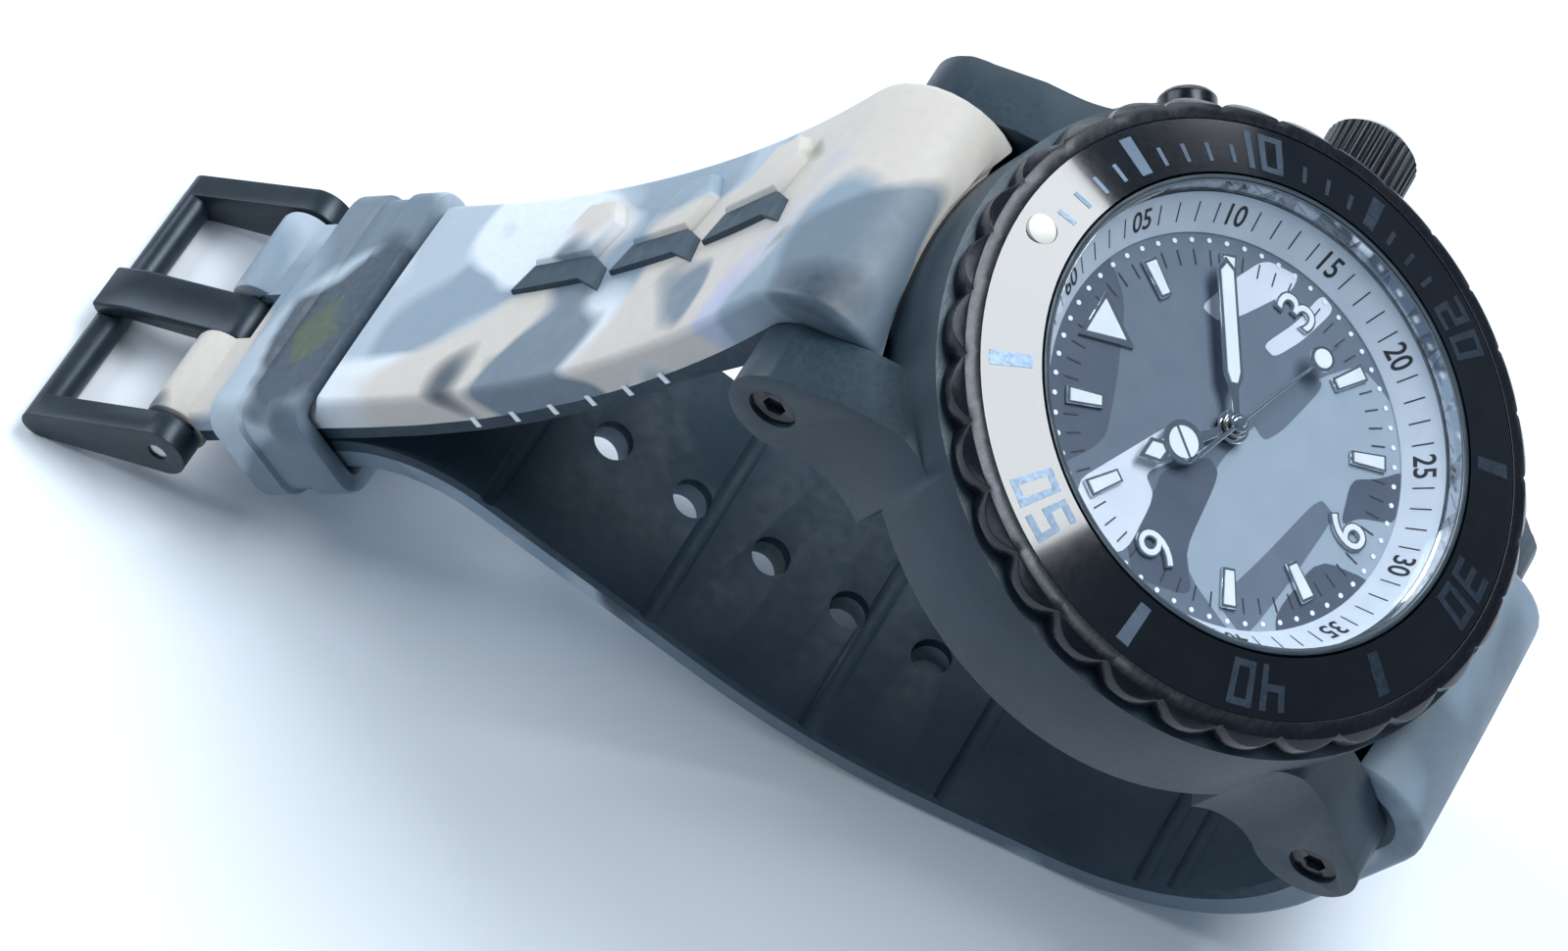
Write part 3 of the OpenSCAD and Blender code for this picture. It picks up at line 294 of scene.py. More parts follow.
# The keeper's dark patch covers the lower half of its side towards the case
KEEPER_FROM, KEEPER_LEN = LONG_ARC + THIN_FROM, 9.8
KEEPER_DARK = on_strap(KEEPER_FROM + KEEPER_LEN / 4, -HALF_W / 3, LONG_T / 2)
KEEPER_BLOTS = [(KEEPER_DARK, KEEPER_LEN * 0.5, HALF_W * 0.95, PRINT["navy"]),
                (KEEPER_DARK, KEEPER_LEN / 4, HALF_W * 0.35, PRINT["moss"])]
M = {
    "case": metal("case_coating", (0.011, 0.027, 0.042), (0.017, 0.036, 0.053), 0.44, 2600, 0.000006,
                  (1, 1, 5), 0.25),
    "ring": metal("ring_coating", (0.005, 0.007, 0.012), (0.009, 0.012, 0.019), 0.26, 1200, 0.000002,
                  (1, 1, 4), 0.4),
    "buckle": metal("buckle_coating", (0.012, 0.022, 0.033), (0.022, 0.036, 0.050), 0.36, 2600, 0.000006,
                    (1, 5, 1), 0.4, 0.00015),
    "steel": metal("plain_steel", (0.50, 0.51, 0.53), (0.62, 0.63, 0.65), 0.28, 4200, 0.00001, (1, 6, 1)),
    "back": metal("back_steel", (0.42, 0.43, 0.45), (0.55, 0.56, 0.58), 0.30, 3600, 0.00001, (8, 1, 1)),
    "chrome": metal("polished_steel", (0.72, 0.74, 0.77), (0.80, 0.82, 0.85), 0.10, 5000, 0.000002),
    "brass": metal("plate_brass", (0.62, 0.46, 0.20), (0.74, 0.58, 0.30), 0.28, 3800, 0.00001, (6, 1, 1)),
    "copper": metal("copper_wire", (0.62, 0.22, 0.09), (0.75, 0.32, 0.15), 0.3, 5200, 0.00004, (1, 14, 1)),
    "magnet": metal("magnet", (0.14, 0.14, 0.15), (0.2, 0.2, 0.22), 0.5, 3800, 0.00001),
    "skin": camo("strap_skin", PRINT["mid"], STRAP_PATCHES, 0.5, 0.00003, 56),
    # Tail skin: camouflage print darkened by painted shade
    "tail_skin_shaded": camo("strap_tail_print_shaded", PRINT["mid"], TAIL_PRINT_WITH_SHADE, 0.5, 0.00003, 56),
    "skin_loop": camo("strap_skin_loop", PRINT["mid"], KEEPER_PATCHES, 0.5, 0.00003, 56, KEEPER_BLOTS),
    "lining": rubber("strap_lining", (0.012, 0.029, 0.047), (0.020, 0.040, 0.060), 0.62),
    "relief": rubber("strap_relief", (0.022, 0.045, 0.066), (0.034, 0.058, 0.082), 0.6),
    "seal": rubber("black_seal", (0.010, 0.010, 0.011), (0.018, 0.018, 0.020), 0.6),
    "white": plastic("white_seal", (0.70, 0.73, 0.77), (0.78, 0.80, 0.83), 0.45),
    "chapter": plastic("silver_ring", (0.62, 0.67, 0.74), (0.70, 0.75, 0.81), 0.38),
    "holder": plastic("holder_plastic", (0.60, 0.60, 0.57), (0.68, 0.68, 0.65), 0.55),
    "board": plastic("board", (0.02, 0.16, 0.07), (0.03, 0.22, 0.10), 0.4),
    "lamp": plastic("lamp", (0.85, 0.85, 0.70), (0.9, 0.9, 0.8), 0.2),
    "lume": plastic("lume_fill", (0.74, 0.77, 0.78), (0.82, 0.85, 0.86), 0.5, 0.00001),
    "ink": plastic("black_ink", (0.012, 0.014, 0.018), (0.022, 0.024, 0.028), 0.5),
    "white_ink": plastic("white_ink", (0.80, 0.84, 0.88), (0.86, 0.89, 0.92), 0.5),
    "steel_ink": metal("steel_ink", (0.07, 0.095, 0.13), (0.09, 0.12, 0.16), 0.34, 3200, 0.000004),
    "insert": plastic("insert_gloss", (0.002, 0.003, 0.006), (0.004, 0.006, 0.010), 0.09, 0.000002,
                      Coat_Weight=0.6, Coat_Roughness=0.05),
    "pearl": plastic("pearl_white", (0.80, 0.80, 0.74), (0.88, 0.88, 0.82), 0.22, 0.000002,
                     Subsurface_Weight=0.2, Subsurface_Radius=(0.001, 0.001, 0.0008)),
    "slate": plastic("dial_slate", (0.105, 0.137, 0.186), (0.125, 0.158, 0.208), 0.5),
    "dark": plastic("dial_dark", (0.050, 0.066, 0.105), (0.062, 0.080, 0.122), 0.5),
    "grey": plastic("dial_grey", (0.300, 0.365, 0.430), (0.330, 0.395, 0.460), 0.5),
    "pale": plastic("dial_pale", (0.66, 0.68, 0.76), (0.72, 0.74, 0.80), 0.5),
}


def glass():
    """Clear crystal: see-through with a mirror-like surface that grows at grazing angles."""
    m = bpy.data.materials.new("clear_crystal")
    m.use_nodes = True
    n, links = m.node_tree.nodes, m.node_tree.links
    n.remove(n["Principled BSDF"])
    clear = n.new("ShaderNodeBsdfTransparent")
    clear.inputs[0].default_value = (0.97, 0.985, 1.0, 1)
    gloss = n.new("ShaderNodeBsdfGlossy")
    gloss.inputs["Roughness"].default_value = 0.02
    # A Fresnel node would turn the far side of the pane opaque at steep angles
    facing = n.new("ShaderNodeLayerWeight")
    facing.inputs["Blend"].default_value = 0.5
    edge_on = n.new("ShaderNodeMath")
    edge_on.operation = "POWER"
    edge_on.inputs[1].default_value = 5.0
    links.new(facing.outputs["Facing"], edge_on.inputs[0])
    mirror = n.new("ShaderNodeMapRange")
    mirror.inputs["To Min"].default_value = 0.03
    mirror.inputs["To Max"].default_value = 0.9
    links.new(edge_on.outputs[0], mirror.inputs["Value"])
    noise = n.new("ShaderNodeTexNoise")
    noise.inputs["Scale"].default_value = 60
    bump = n.new("ShaderNodeBump")
    bump.inputs["Distance"].default_value = 0.00001
    bump.inputs["Strength"].default_value = 0.1
    links.new(noise.outputs["Fac"], bump.inputs["Height"])
    links.new(bump.outputs[0], gloss.inputs["Normal"])
    both = n.new("ShaderNodeMixShader")
    links.new(mirror.outputs[0], both.inputs[0])
    links.new(clear.outputs[0], both.inputs[1])
    links.new(gloss.outputs[0], both.inputs[2])
    links.new(both.outputs[0], n["Material Output"].inputs[0])
    return m


M["glass"] = glass()


# ---- mesh helpers --------------------------------------------------------

def smooth(obj, degrees=35):
    mesh = obj.data
    mesh.polygons.foreach_set("use_smooth", [True] * len(mesh.polygons))
    mesh.set_sharp_from_angle(angle=math.radians(degrees))
    return obj


def piece(name, verts, faces, body, slot, mat, degrees=35, place=HEAD):
    """A mesh piece from points in watch millimetres, riding on a body."""
    mesh = bpy.data.meshes.new(name)
    mesh.from_pydata([place @ Vector(v) for v in verts], [], faces)
    mesh.validate()
    obj = bpy.data.objects.new(name, mesh)
    bpy.context.scene.collection.objects.link(obj)
    bm = bmesh.new()
    bm.from_mesh(mesh)
    bmesh.ops.recalc_face_normals(bm, faces=bm.faces)
    bm.to_mesh(mesh)
    bm.free()
    mesh.materials.append(mat)
    smooth(obj, degrees)
    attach(obj, body)
    return obj


def bake_modifiers(obj):
    """Replaces a piece's mesh by its mesh with modifiers applied."""
    bpy.context.view_layer.update()
    made = bpy.data.meshes.new_from_object(obj.evaluated_get(bpy.context.evaluated_depsgraph_get()))
    obj.modifiers.clear()
    obj.data = made
    return obj


def bevel(obj, width, segments=2, degrees=30):
    mod = obj.modifiers.new("edges", "BEVEL")
    mod.width = width * MM
    mod.segments = segments
    mod.limit_method = "ANGLE"
    mod.angle_limit = math.radians(degrees)
    mod.use_clamp_overlap = True
    bake_modifiers(obj)
    return smooth(obj, 40)


def rounded(node, body, mat, width, segments=2, degrees=32):
    """A copy of a CAD node with its sharp edges rounded, standing in for the node."""
    mesh = NODES[node].data.copy()
    bm = bmesh.new()
    bm.from_mesh(mesh)
    bmesh.ops.remove_doubles(bm, verts=bm.verts, dist=2e-6)
    bmesh.ops.dissolve_limit(bm, angle_limit=math.radians(0.6), verts=bm.verts, edges=bm.edges)
    bm.to_mesh(mesh)
    bm.free()
    mesh.materials.clear()
    mesh.materials.append(mat)
    obj = bpy.data.objects.new(node + "_finished", mesh)
    bpy.context.scene.collection.objects.link(obj)
    bevel(obj, width, segments, degrees)
    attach(obj, body)
    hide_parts(node)
    return obj


def join(parts):
    """Joins lists of (verts, faces) into one."""
    verts, faces = [], []
    for v, f in parts:
        base = len(verts)
        verts += list(v)
        faces += [[base + i for i in face] for face in f]
    return verts, faces


def prism(outline, z0, z1):
    n = len(outline)
    verts = [(x, y, z0) for x, y in outline] + [(x, y, z1) for x, y in outline]
    sides = [[i, (i + 1) % n, n + (i + 1) % n, n + i] for i in range(n)]
    return verts, [list(range(n))[::-1], list(range(n, 2 * n))] + sides


def turned(shape, clock):
    """Turns (verts, faces) clockwise about the dial's axis by an angle in degrees."""
    c, s = math.cos(math.radians(-clock)), math.sin(math.radians(-clock))
    verts, faces = shape
    return [(x * c - y * s, x * s + y * c, z) for x, y, z in verts], faces


def circle(x, y, r, n=20, start=0.0):
    return [(x + r * math.cos(start + 2 * PI * k / n), y + r * math.sin(start + 2 * PI * k / n)) for k in range(n)]


def rounded_corners(outline, times=2, keep=0.25):
    """Cuts an outline's corners again and again, so it ends up smooth."""
    for _ in range(times):
        cut = []
        for a, b in zip(outline, outline[1:] + outline[:1]):
            cut.append((a[0] + keep * (b[0] - a[0]), a[1] + keep * (b[1] - a[1])))
            cut.append((b[0] + keep * (a[0] - b[0]), b[1] + keep * (a[1] - b[1])))
        outline = cut
    return outline


def loft(rings, closed=True):
    """Skins a list of equal point rings, with capped ends."""
    n = len(rings[0])
    verts = [p for ring in rings for p in ring]
    faces = []
    for r in range(len(rings) - 1):
        for i in range(n):
            a, b = r * n + i, r * n + (i + 1) % n
            faces.append([a, b, b + n, a + n])
    if closed:
        faces.append(list(range(n))[::-1])
        faces.append([(len(rings) - 1) * n + i for i in range(n)])
    return verts, faces


# ---- strap sweeps ------------------------------------------------------

def along(path, start, h, spacing):
    """Stations (y, z, heading, length so far) along a path of (length, turn) stretches."""
    made, p, done = [], start, 0.0
    for length, turn in path:
        n = max(1, int(math.ceil(length / spacing)))
        for k in range(n):
            y, z = step(p, h, length * k / n, turn * k / n)
            made.append((y, z, h + turn * k / n, done + length * k / n))
        p, h, done = step(p, h, length, turn), h + turn, done + length
    made.append((p[0], p[1], h, done))
    return made


def sweep(stations, profile):
    """Skins a cross-section profile(s) -> [(across, off), ...] along the stations."""
    rings = []
    for y, z, h, s in stations:
        o = side(h)
        rings.append([(w, y + t * o[0], z + t * o[1]) for w, t in profile(s)])
    return loft(rings)




def skin_profile(outer, inner, half, crown, edge, n=5):
    """Closed cross-section: flat inner side, round outer corners, slight crown."""
    sign = 1 if outer > inner else -1
    pts = [(-half, inner)]
    for k in range(n + 1):
        a = PI - PI / 2 * k / n
        pts.append((-half + edge + edge * math.cos(a), outer - sign * (edge - edge * math.sin(a))))
    for k in range(1, 8):
        w = (-half + edge) + (2 * half - 2 * edge) * k / 8
        pts.append((w, outer + sign * crown * (1 - (w / half) ** 2)))
    for k in range(n + 1):
        a = PI / 2 - PI / 2 * k / n
        pts.append((half - edge + edge * math.cos(a), outer - sign * (edge - edge * math.sin(a))))
    pts.append((half, inner))
    for k in range(1, 8):
        pts.append((half - 2 * half * k / 8, inner))
    return pts


def clear_of_case(shape, radius=24.3, below=-9.3):
    """Moves points that lie inside the case's outline out onto it."""
    verts, faces = shape
    out = []
    for x, y, z in verts:
        edge = math.sqrt(max(0, radius ** 2 - x * x))
        if z > below and abs(y) < edge and math.hypot(x, y) < radius:
            y = math.copysign(edge, y)
        out.append((x, y, z))
    return out, faces


# ---- strap, 12 o'clock half ----------------------------------------------

def long_profile(s):
    nose = LONG_NOSE[0]
    thick_end = nose + LONG_ARC + THIN_FROM
    drop = 0.0 if s < thick_end - 1.0 else THIN_DROP * min(1, (s - thick_end + 1.0) / 0.9)
    return skin_profile(LONG_T / 2 - 0.12 - drop, LINER_T - LONG_T / 2, HALF_W, 0.12, 0.75)


stations = along([LONG_NOSE, (LONG_ARC, LONG_TURN), (THIN_FROM - 1, 0), (1, 0), (LONG_STRAIGHT - THIN_FROM, 0)],
                 LONG_TOP, 180 + LONG_H, 0.9)
stations = [st for st in stations if st[3] > LONG_NOSE[0] * 0.30]
long_shape = clear_of_case(sweep(stations, long_profile))
long_skin = piece("strap_12_skin", *long_shape, "watch", "strap_skin", M["skin"], 50)
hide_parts("strap_12_outer")

PIN = step(step(LONG_END, H_END, LONG_STRAIGHT, 0), H_END - 90, THIN_DROP / 2, 0)


def barrel(x0, x1, r, edge=0.35, n=40):
    """Round shaft across the strap at the buckle's pin, with round ends."""
    rings = []
    for x, rr in ((x0, r - edge), (x0 + edge * 0.3, r - edge * 0.3), (x0 + edge, r),
                  (x1 - edge, r), (x1 - edge * 0.3, r - edge * 0.3), (x1, r - edge)):
        rings.append([(x, PIN[0] + rr * math.cos(2 * PI * k / n), PIN[1] + rr * math.sin(2 * PI * k / n))
                      for k in range(n)])
    return loft(rings)


SLOT, LOOP_R = 2.4, 2.6
piece("strap_12_loops", *join([barrel(-HALF_W, -SLOT, LOOP_R), barrel(SLOT, HALF_W, LOOP_R)]),
      "watch", "strap_skin", M["skin"], 40)


def cut_with(obj, cutter):
    """Takes a cutter piece out of obj and removes the cutter."""
    mod = obj.modifiers.new("cut", "BOOLEAN")
    mod.operation = "DIFFERENCE"
    mod.solver = "EXACT"
    mod.object = cutter
    bake_modifiers(obj)
    bpy.data.objects.remove(cutter)
    return obj


def cutter(name, verts, faces):
    mesh = bpy.data.meshes.new(name)
    mesh.from_pydata([HEAD @ Vector(v) for v in verts], [], faces)
    obj = bpy.data.objects.new(name, mesh)
    bpy.context.scene.collection.objects.link(obj)
    bm = bmesh.new()
    bm.from_mesh(mesh)
    bmesh.ops.recalc_face_normals(bm, faces=bm.faces)
    bm.to_mesh(mesh)
    bm.free()
    return obj


def local_box(origin, h, x0, x1, t0, t1, s0, s1):
    """Box in strap coordinates: across, off the strap, along it."""
    d, o2 = heading(h), side(h)
    pts = []
    for s in (s0, s1):
        for x, t in ((x0, t0), (x1, t0), (x1, t1), (x0, t1)):
            pts.append((x, origin[0] + t * o2[0] + s * d[0], origin[1] + t * o2[1] + s * d[1]))
    return pts, [[0, 1, 2, 3][::-1], [4, 5, 6, 7], [0, 1, 5, 4], [1, 2, 6, 5], [2, 3, 7, 6], [3, 0, 4, 7]]


cut_with(long_skin, cutter("slot_cut", *local_box(PIN, H_END, -SLOT, SLOT, -6, 6, -3.5, 6)))
smooth(long_skin, 50)

# Raised relief down the middle: dark bars in a chain, each with a printed plate behind it
def raised(outline, height, inset):
    """Block on the strap with a sloping wall; the outline is in (length, across)."""
    cs = sum(p[0] for p in outline) / len(outline)
    cw = sum(p[1] for p in outline) / len(outline)
    top = []
    for s, w in outline:
        d = math.hypot(s - cs, w - cw)
        k = max(0.0, 1 - inset / d)
        top.append((cs + (s - cs) * k, cw + (w - cw) * k))
    rings = [[on_strap(s, w, LONG_T / 2 - 0.5) for s, w in outline],
             [on_strap(s, w, LONG_T / 2 + height * 0.25) for s, w in outline],
             [on_strap(s, w, LONG_T / 2 + height) for s, w in top]]
    return loft(rings)


BAR_COUNT, BAR_FROM, BAR_PITCH, BAR_LEN = 3, 3.0, 11.5, 11.0
BAR_NEAR, BAR_FAR, BAR_TIP, TIP_DIP = -0.5, 2.0, 3.0, 1.5
PLATE_EDGE, PLATE_SLANT = 8.0, 2.5
BAR_HIGH, BAR_INSET, PLATE_HIGH, PLATE_INSET = 0.45, 0.15, 0.85, 0.45
NICK_COUNT, NICK_FROM, NICK_PITCH, NICK_LEN = 6, 14.0, 4.4, 0.55


def bar_outline(s):
    """Bar that starts at s with a pointed tip, which dips to the near side."""
    end = s + BAR_LEN
    return [(end, BAR_NEAR), (s + BAR_TIP, BAR_NEAR), (s, BAR_NEAR - TIP_DIP), (s + BAR_TIP / 4, BAR_NEAR + 1),
            (s + BAR_TIP, BAR_FAR), (end - 1, BAR_FAR)]


def plate_outline(s):
    """Plate behind a bar, with slanted ends."""
    start, end, middle = s + BAR_TIP, s + BAR_LEN - 1, (BAR_FAR + PLATE_EDGE) / 2
    return [(end, BAR_FAR - 0.1), (start, BAR_FAR - 0.1), (start - 1, middle), (start + 1, PLATE_EDGE),
            (end - PLATE_SLANT, PLATE_EDGE)]


bar_starts = [BAR_FROM + BAR_PITCH * k for k in range(BAR_COUNT)]
bars = join([raised(bar_outline(s), BAR_HIGH, BAR_INSET) for s in bar_starts])
piece("strap_12_bars", *bars, "watch", "strap_lining", M["relief"], 20)
plates = join([raised(plate_outline(s), PLATE_HIGH, PLATE_INSET) for s in bar_starts])
bevel(piece("strap_12_plates", *plates, "watch", "strap_skin", M["skin"], 20), 0.12, 2, 15)

# Light nicks where the outer layer laps over the dark one along both edges
marks = []
for k in range(NICK_COUNT):
    s = NICK_FROM + NICK_PITCH * k
    y, z = step(LONG_START, LONG_H, s, LONG_TURN * s / LONG_ARC)
    h = LONG_H + LONG_TURN * s / LONG_ARC
    for sgn in (-1, 1):
        x0, x1 = sorted((sgn * (HALF_W - 0.5), sgn * (HALF_W + 0.1)))
        marks.append(local_box((y, z), h, x0, x1, -1.6, -0.6, 0, NICK_LEN))
piece("strap_12_nicks", *join(marks), "watch", "strap_skin", M["white"], 20)


# ---- strap, 6 o'clock half -----------------------------------------------

TAIL_START = (-BAR_Y - (NOSE_R - TAIL_T / 2), BAR_Z)
TAIL_TOP = (-2 * BAR_Y - TAIL_START[0], BAR_Z)
TAIL_NOSE = ((NOSE_R - TAIL_T / 2) * PI, 180)
REST_H, FOOT_R, FOOT_LEN, RISE_TURN, RISE_R, TUCK_R = 60.0, 22.0, 10.0, 23.0, 50.0, 12.0
TUCK_TURN = H_END - REST_H - RISE_TURN
TAIL_OFF, TAIL_LEN = -LONG_T / 2 - 0.3 - TAIL_T / 2, 14.2
arcs = [math.radians(REST_H) * FOOT_R, math.radians(RISE_TURN) * RISE_R, -math.radians(TUCK_TURN) * TUCK_R]
tuck_at = step(step(LONG_END, H_END, THIN_FROM, 0), H_END + 90, TAIL_OFF, 0)
p1 = step((0, 0), 0, arcs[0], REST_H)
p2 = step(p1, REST_H, FOOT_LEN, 0)
p3 = step(p2, REST_H, arcs[1], RISE_TURN)
p4 = step(p3, REST_H + RISE_TURN, arcs[2], TUCK_TURN)
left_y = tuck_at[0] - TAIL_START[0] - p4[0]
left_z = tuck_at[1] - TAIL_START[1] - p4[1]
RISE_H = REST_H + RISE_TURN
RUN = left_y / math.sin(math.radians(RISE_H))
DROP = -left_z - RUN * math.cos(math.radians(RISE_H))
TAIL_PATH = [(DROP, 0), (arcs[0], REST_H), (FOOT_LEN, 0), (arcs[1], RISE_TURN), (RUN, 0), (arcs[2], TUCK_TURN),
             (TAIL_LEN, 0)]
TAIL_LENGTH = sum(length for length, _ in TAIL_PATH)
HOLE_COUNT, HOLE_FROM_TIP, HOLE_PITCH, HOLE_R = 7, 17.1, 7.5, 1.6
HOLES = [TAIL_LENGTH - HOLE_FROM_TIP - HOLE_PITCH * k for k in range(HOLE_COUNT)]


def station_at(path, start, h, s):
    for length, turn in path:
        if s <= length:
            y, z = step(start, h, s, turn * s / length)
            return y, z, h + turn * s / length
        start, h, s = step(start, h, length, turn), h + turn, s - length
    return start[0], start[1], h


def tip_half(s, edge=HALF_W):
    """Half width of the strap near its rounded tip."""
    back = TAIL_LENGTH - s
    if back > 3.2:
        return edge
    return max(2.0, min(edge, math.sqrt(max(0, 400 - (20 - back) ** 2))))


def tail_skin_profile(s):
    s -= TAIL_NOSE[0]
    return skin_profile(-TAIL_T / 2 + 0.06, TAIL_T / 2 - LINER_T, tip_half(s), 0.06, 0.6)


GROOVES = (24.0, 27.2, 44.5, 56.5, 71.5, 86.5)


def groove_bar(s, r=0.9, depth=0.42, n=24):
    """Round bar across the strap's inner face, which cuts a groove of this depth."""
    y, z, h = station_at(TAIL_PATH, TAIL_START, 0, s)
    d, o2 = heading(h), side(h)
    off = TAIL_T / 2 + r - depth
    rings = []
    for x in (-HALF_W - 1, HALF_W + 1):
        ring = []
        for k in range(n):
            a = 2 * PI * k / n
            up, on = off + r * math.cos(a), r * math.sin(a)
            ring.append((x, y + up * o2[0] + on * d[0], z + up * o2[1] + on * d[1]))
        rings.append(ring)
    return loft(rings)


tail = [TAIL_NOSE] + TAIL_PATH
stations = along(tail, TAIL_TOP, 180, 0.9)
stations = [st for st in stations if st[3] > TAIL_NOSE[0] * 0.30]
fine_tip = [TAIL_NOSE[0] + TAIL_LENGTH - d for d in (3.0, 2.4, 1.8, 1.2, 0.8, 0.5, 0.25, 0.1)]


def with_extra(stations, path, start, h, extra):
    kept = [st for st in stations if all(abs(st[3] - e) > 0.12 for e in extra)]
    for e in extra:
        y, z, hh = station_at(path, start, h, e)
        kept.append((y, z, hh, e))
    return sorted(kept, key=lambda st: st[3])


stations = with_extra(stations, tail, TAIL_TOP, 180, fine_tip)
tail_skin = piece("strap_6_skin", *clear_of_case(sweep(stations, tail_skin_profile)), "watch", "strap_skin",
                  M["tail_skin_shaded"], 50)
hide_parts("strap_6_outer")


def hole_rings(s, r, depth, n=28):
    y, z, h = station_at(TAIL_PATH, TAIL_START, 0, s)
    d, o2 = heading(h), side(h)
    rings = []
    for t in (-depth, depth):
        rings.append([(r * math.cos(2 * PI * k / n), y + t * o2[0] + r * math.sin(2 * PI * k / n) * d[0],
                       z + t * o2[1] + r * math.sin(2 * PI * k / n) * d[1]) for k in range(n)])
    return loft(rings)


cut_with(tail_skin, cutter("hole_cut", *join([hole_rings(s, HOLE_R, 5) for s in HOLES])))
smooth(tail_skin, 50)


# ---- keeper --------------------------------------------------------------

def keeper():
    at = step(LONG_END, H_END, THIN_FROM + 0.05, 0)
    d, o2 = heading(H_END), side(H_END)
    length, wall = KEEPER_LEN, 1.6
    half_in = HALF_W + 0.3
    top = LONG_T / 2 - THIN_DROP + 0.15
    bottom = TAIL_OFF - TAIL_T / 2 - 0.3

    def box_ring(grow, r, s, n=8):
        hw, t0, t1 = half_in + grow, bottom - grow, top + grow
        ring = []
        corners = ((hw - r, t1 - r, 0), (-hw + r, t1 - r, 90), (-hw + r, t0 + r, 180), (hw - r, t0 + r, 270))
        for cx, ct, a0 in corners:
            for k in range(n + 1):
                a = math.radians(a0 + 90 * k / n)
                w, t = cx + r * math.cos(a), ct + r * math.sin(a)
                ring.append((w, at[0] + t * o2[0] + s * d[0], at[1] + t * o2[1] + s * d[1]))
        return ring

    w = wall
    rings = [box_ring(0, 0.6, 0.4), box_ring(0.15, 0.7, 0.1), box_ring(0.5, 1.0, 0), box_ring(w - 0.5, 1.9, 0),
             box_ring(w - 0.15, 2.1, 0.15), box_ring(w, 2.2, 0.5),
             box_ring(w, 2.2, 3.2), box_ring(w - 0.35, 2.0, 3.5), box_ring(w - 0.35, 2.0, 6.3),
             box_ring(w, 2.2, 6.6),
             box_ring(w, 2.2, length - 0.5), box_ring(w - 0.15, 2.1, length - 0.15),
             box_ring(w - 0.5, 1.9, length), box_ring(0.5, 1.0, length), box_ring(0.15, 0.7, length - 0.1),
             box_ring(0, 0.6, length - 0.4)]
    rings.append(rings[0])
    verts, faces = loft(rings, closed=False)
    obj = piece("keeper_loop", verts, faces, "keeper_body", "strap_skin", M["skin_loop"], 40)
    bm = bmesh.new()
    bm.from_mesh(obj.data)
    bmesh.ops.remove_doubles(bm, verts=bm.verts, dist=1e-6)
    bmesh.ops.recalc_face_normals(bm, faces=bm.faces)
    bm.to_mesh(obj.data)
    bm.free()
    smooth(obj, 40)
    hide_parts("keeper")


keeper()


# ---- hard parts with rounded edges ---------------------------------------

rounded("strap_12_liner", "watch", M["lining"], 0.2)
tail_liner = rounded("strap_6_liner", "watch", M["lining"], 0.2)
cut_with(tail_liner, cutter("groove_cut", *join([groove_bar(s) for s in GROOVES])))
smooth(tail_liner, 40)
rounded("case_middle", "watch", M["case"], 0.22)
rounded("bezel_ring", "bezel", M["ring"], 0.16)
rounded("crown", "crown_body", M["ring"], 0.10, 1)
rounded("led_pusher", "pusher_body", M["ring"], 0.15)
rounded("buckle_frame", "buckle_body", M["buckle"], 0.35, 3)
rounded("buckle_tongue", "tongue_body", M["buckle"], 0.25, 2)
rounded("lug_screws", "watch", M["ring"], 0.08, 1)

PLAIN = {
    "back": ["case_back"], "seal": ["case_back_gasket", "crown_gasket"], "glass": ["crystal"],
    "chrome": ["crystal_gasket", "quartz_can"], "chapter": ["chapter_ring"], "slate": ["dial"],
    "holder": ["movement_holder"], "board": ["circuit_board"], "copper": ["motor_coil"], "lamp": ["led_lamp"],
    "magnet": ["rotor"], "insert": ["bezel_insert"],
    "pearl": ["bezel_pearl"], "case": ["crown_tube", "pusher_tube"],
    "brass": ["main_plate", "train_bridge", "hour_wheel", "centre_wheel", "seconds_wheel", "third_wheel",
              "motion_wheel", "fifth_wheel"],
    "steel": ["bridge_screws", "battery_cell", "motor_stator", "click_spring", "lug_bars", "buckle_bar",
              "crown_stem", "pusher_spring"],
}
for key, names in PLAIN.items():
    for name in names:
        mesh = NODES[name].data
        mesh.materials.clear()
        mesh.materials.append(M[key])


# ---- dial ----------------------------------------------------------------

# Camouflage on the dial: outlines listed in dial millimetres, darkest on top
PATCHES = [
    ("grey", [(-3, -0.6), (2, -1.6), (8.4, -3.8), (12, -6.2), (10.5, -12), (0, -16), (-8, -13.5), (-13, -8.5),
              (-11, -2)]),
    ("dark", [(-6.2, 2.6), (-2.6, 0.2), (-3.2, -1.2), (-10, -1.8), (-12.5, -4), (-14.5, 0.5), (-12, 2.6),
              (-8, 2.3)]),
    ("dark", [(5.5, 15), (2.8, 11.2), (-3.2, 8.6), (-7.4, 7.2), (-12, 9.5), (-6, 15), (0, 16)]),
    ("pale", [(-2.3, 3.6), (-7.4, 5.8), (-11.6, 7.6), (-15, 4), (-13.2, 1.8), (-8.2, 2.1), (-7.2, 3.6),
              (-4.4, 1.9)]),
    ("pale", [(6.6, 6.3), (9.8, 5.4), (13.4, 4), (14.2, 1.2), (12.8, 1.1), (8.2, 3.4), (6.6, 4.6)]),
    ("pale", [(14.4, -1), (11, -0.4), (7.6, 0.9), (7.4, -0.3), (10.2, -1.5), (14, -2.4)]),
    ("slate", [(0.9, -8.4), (0.5, -10.1), (-6.4, -9.6), (-12.4, -8.8), (-11.5, -5.6), (-6, -7)]),
    ("slate", [(8.6, -3.2), (2.0, -1.2), (1.4, -2.8), (3.2, -3.6), (8.4, -4.6)]),
    ("dark", [(7.4, -13), (5.4, -11.6), (3.8, -9.8), (0.2, -10.8), (1.8, -11.8), (3.4, -14.4)]),
    ("dark", [(-3.2, -10.6), (-9, -9.8), (-11, -11), (-6, -15.5), (-1.6, -15)]),
]
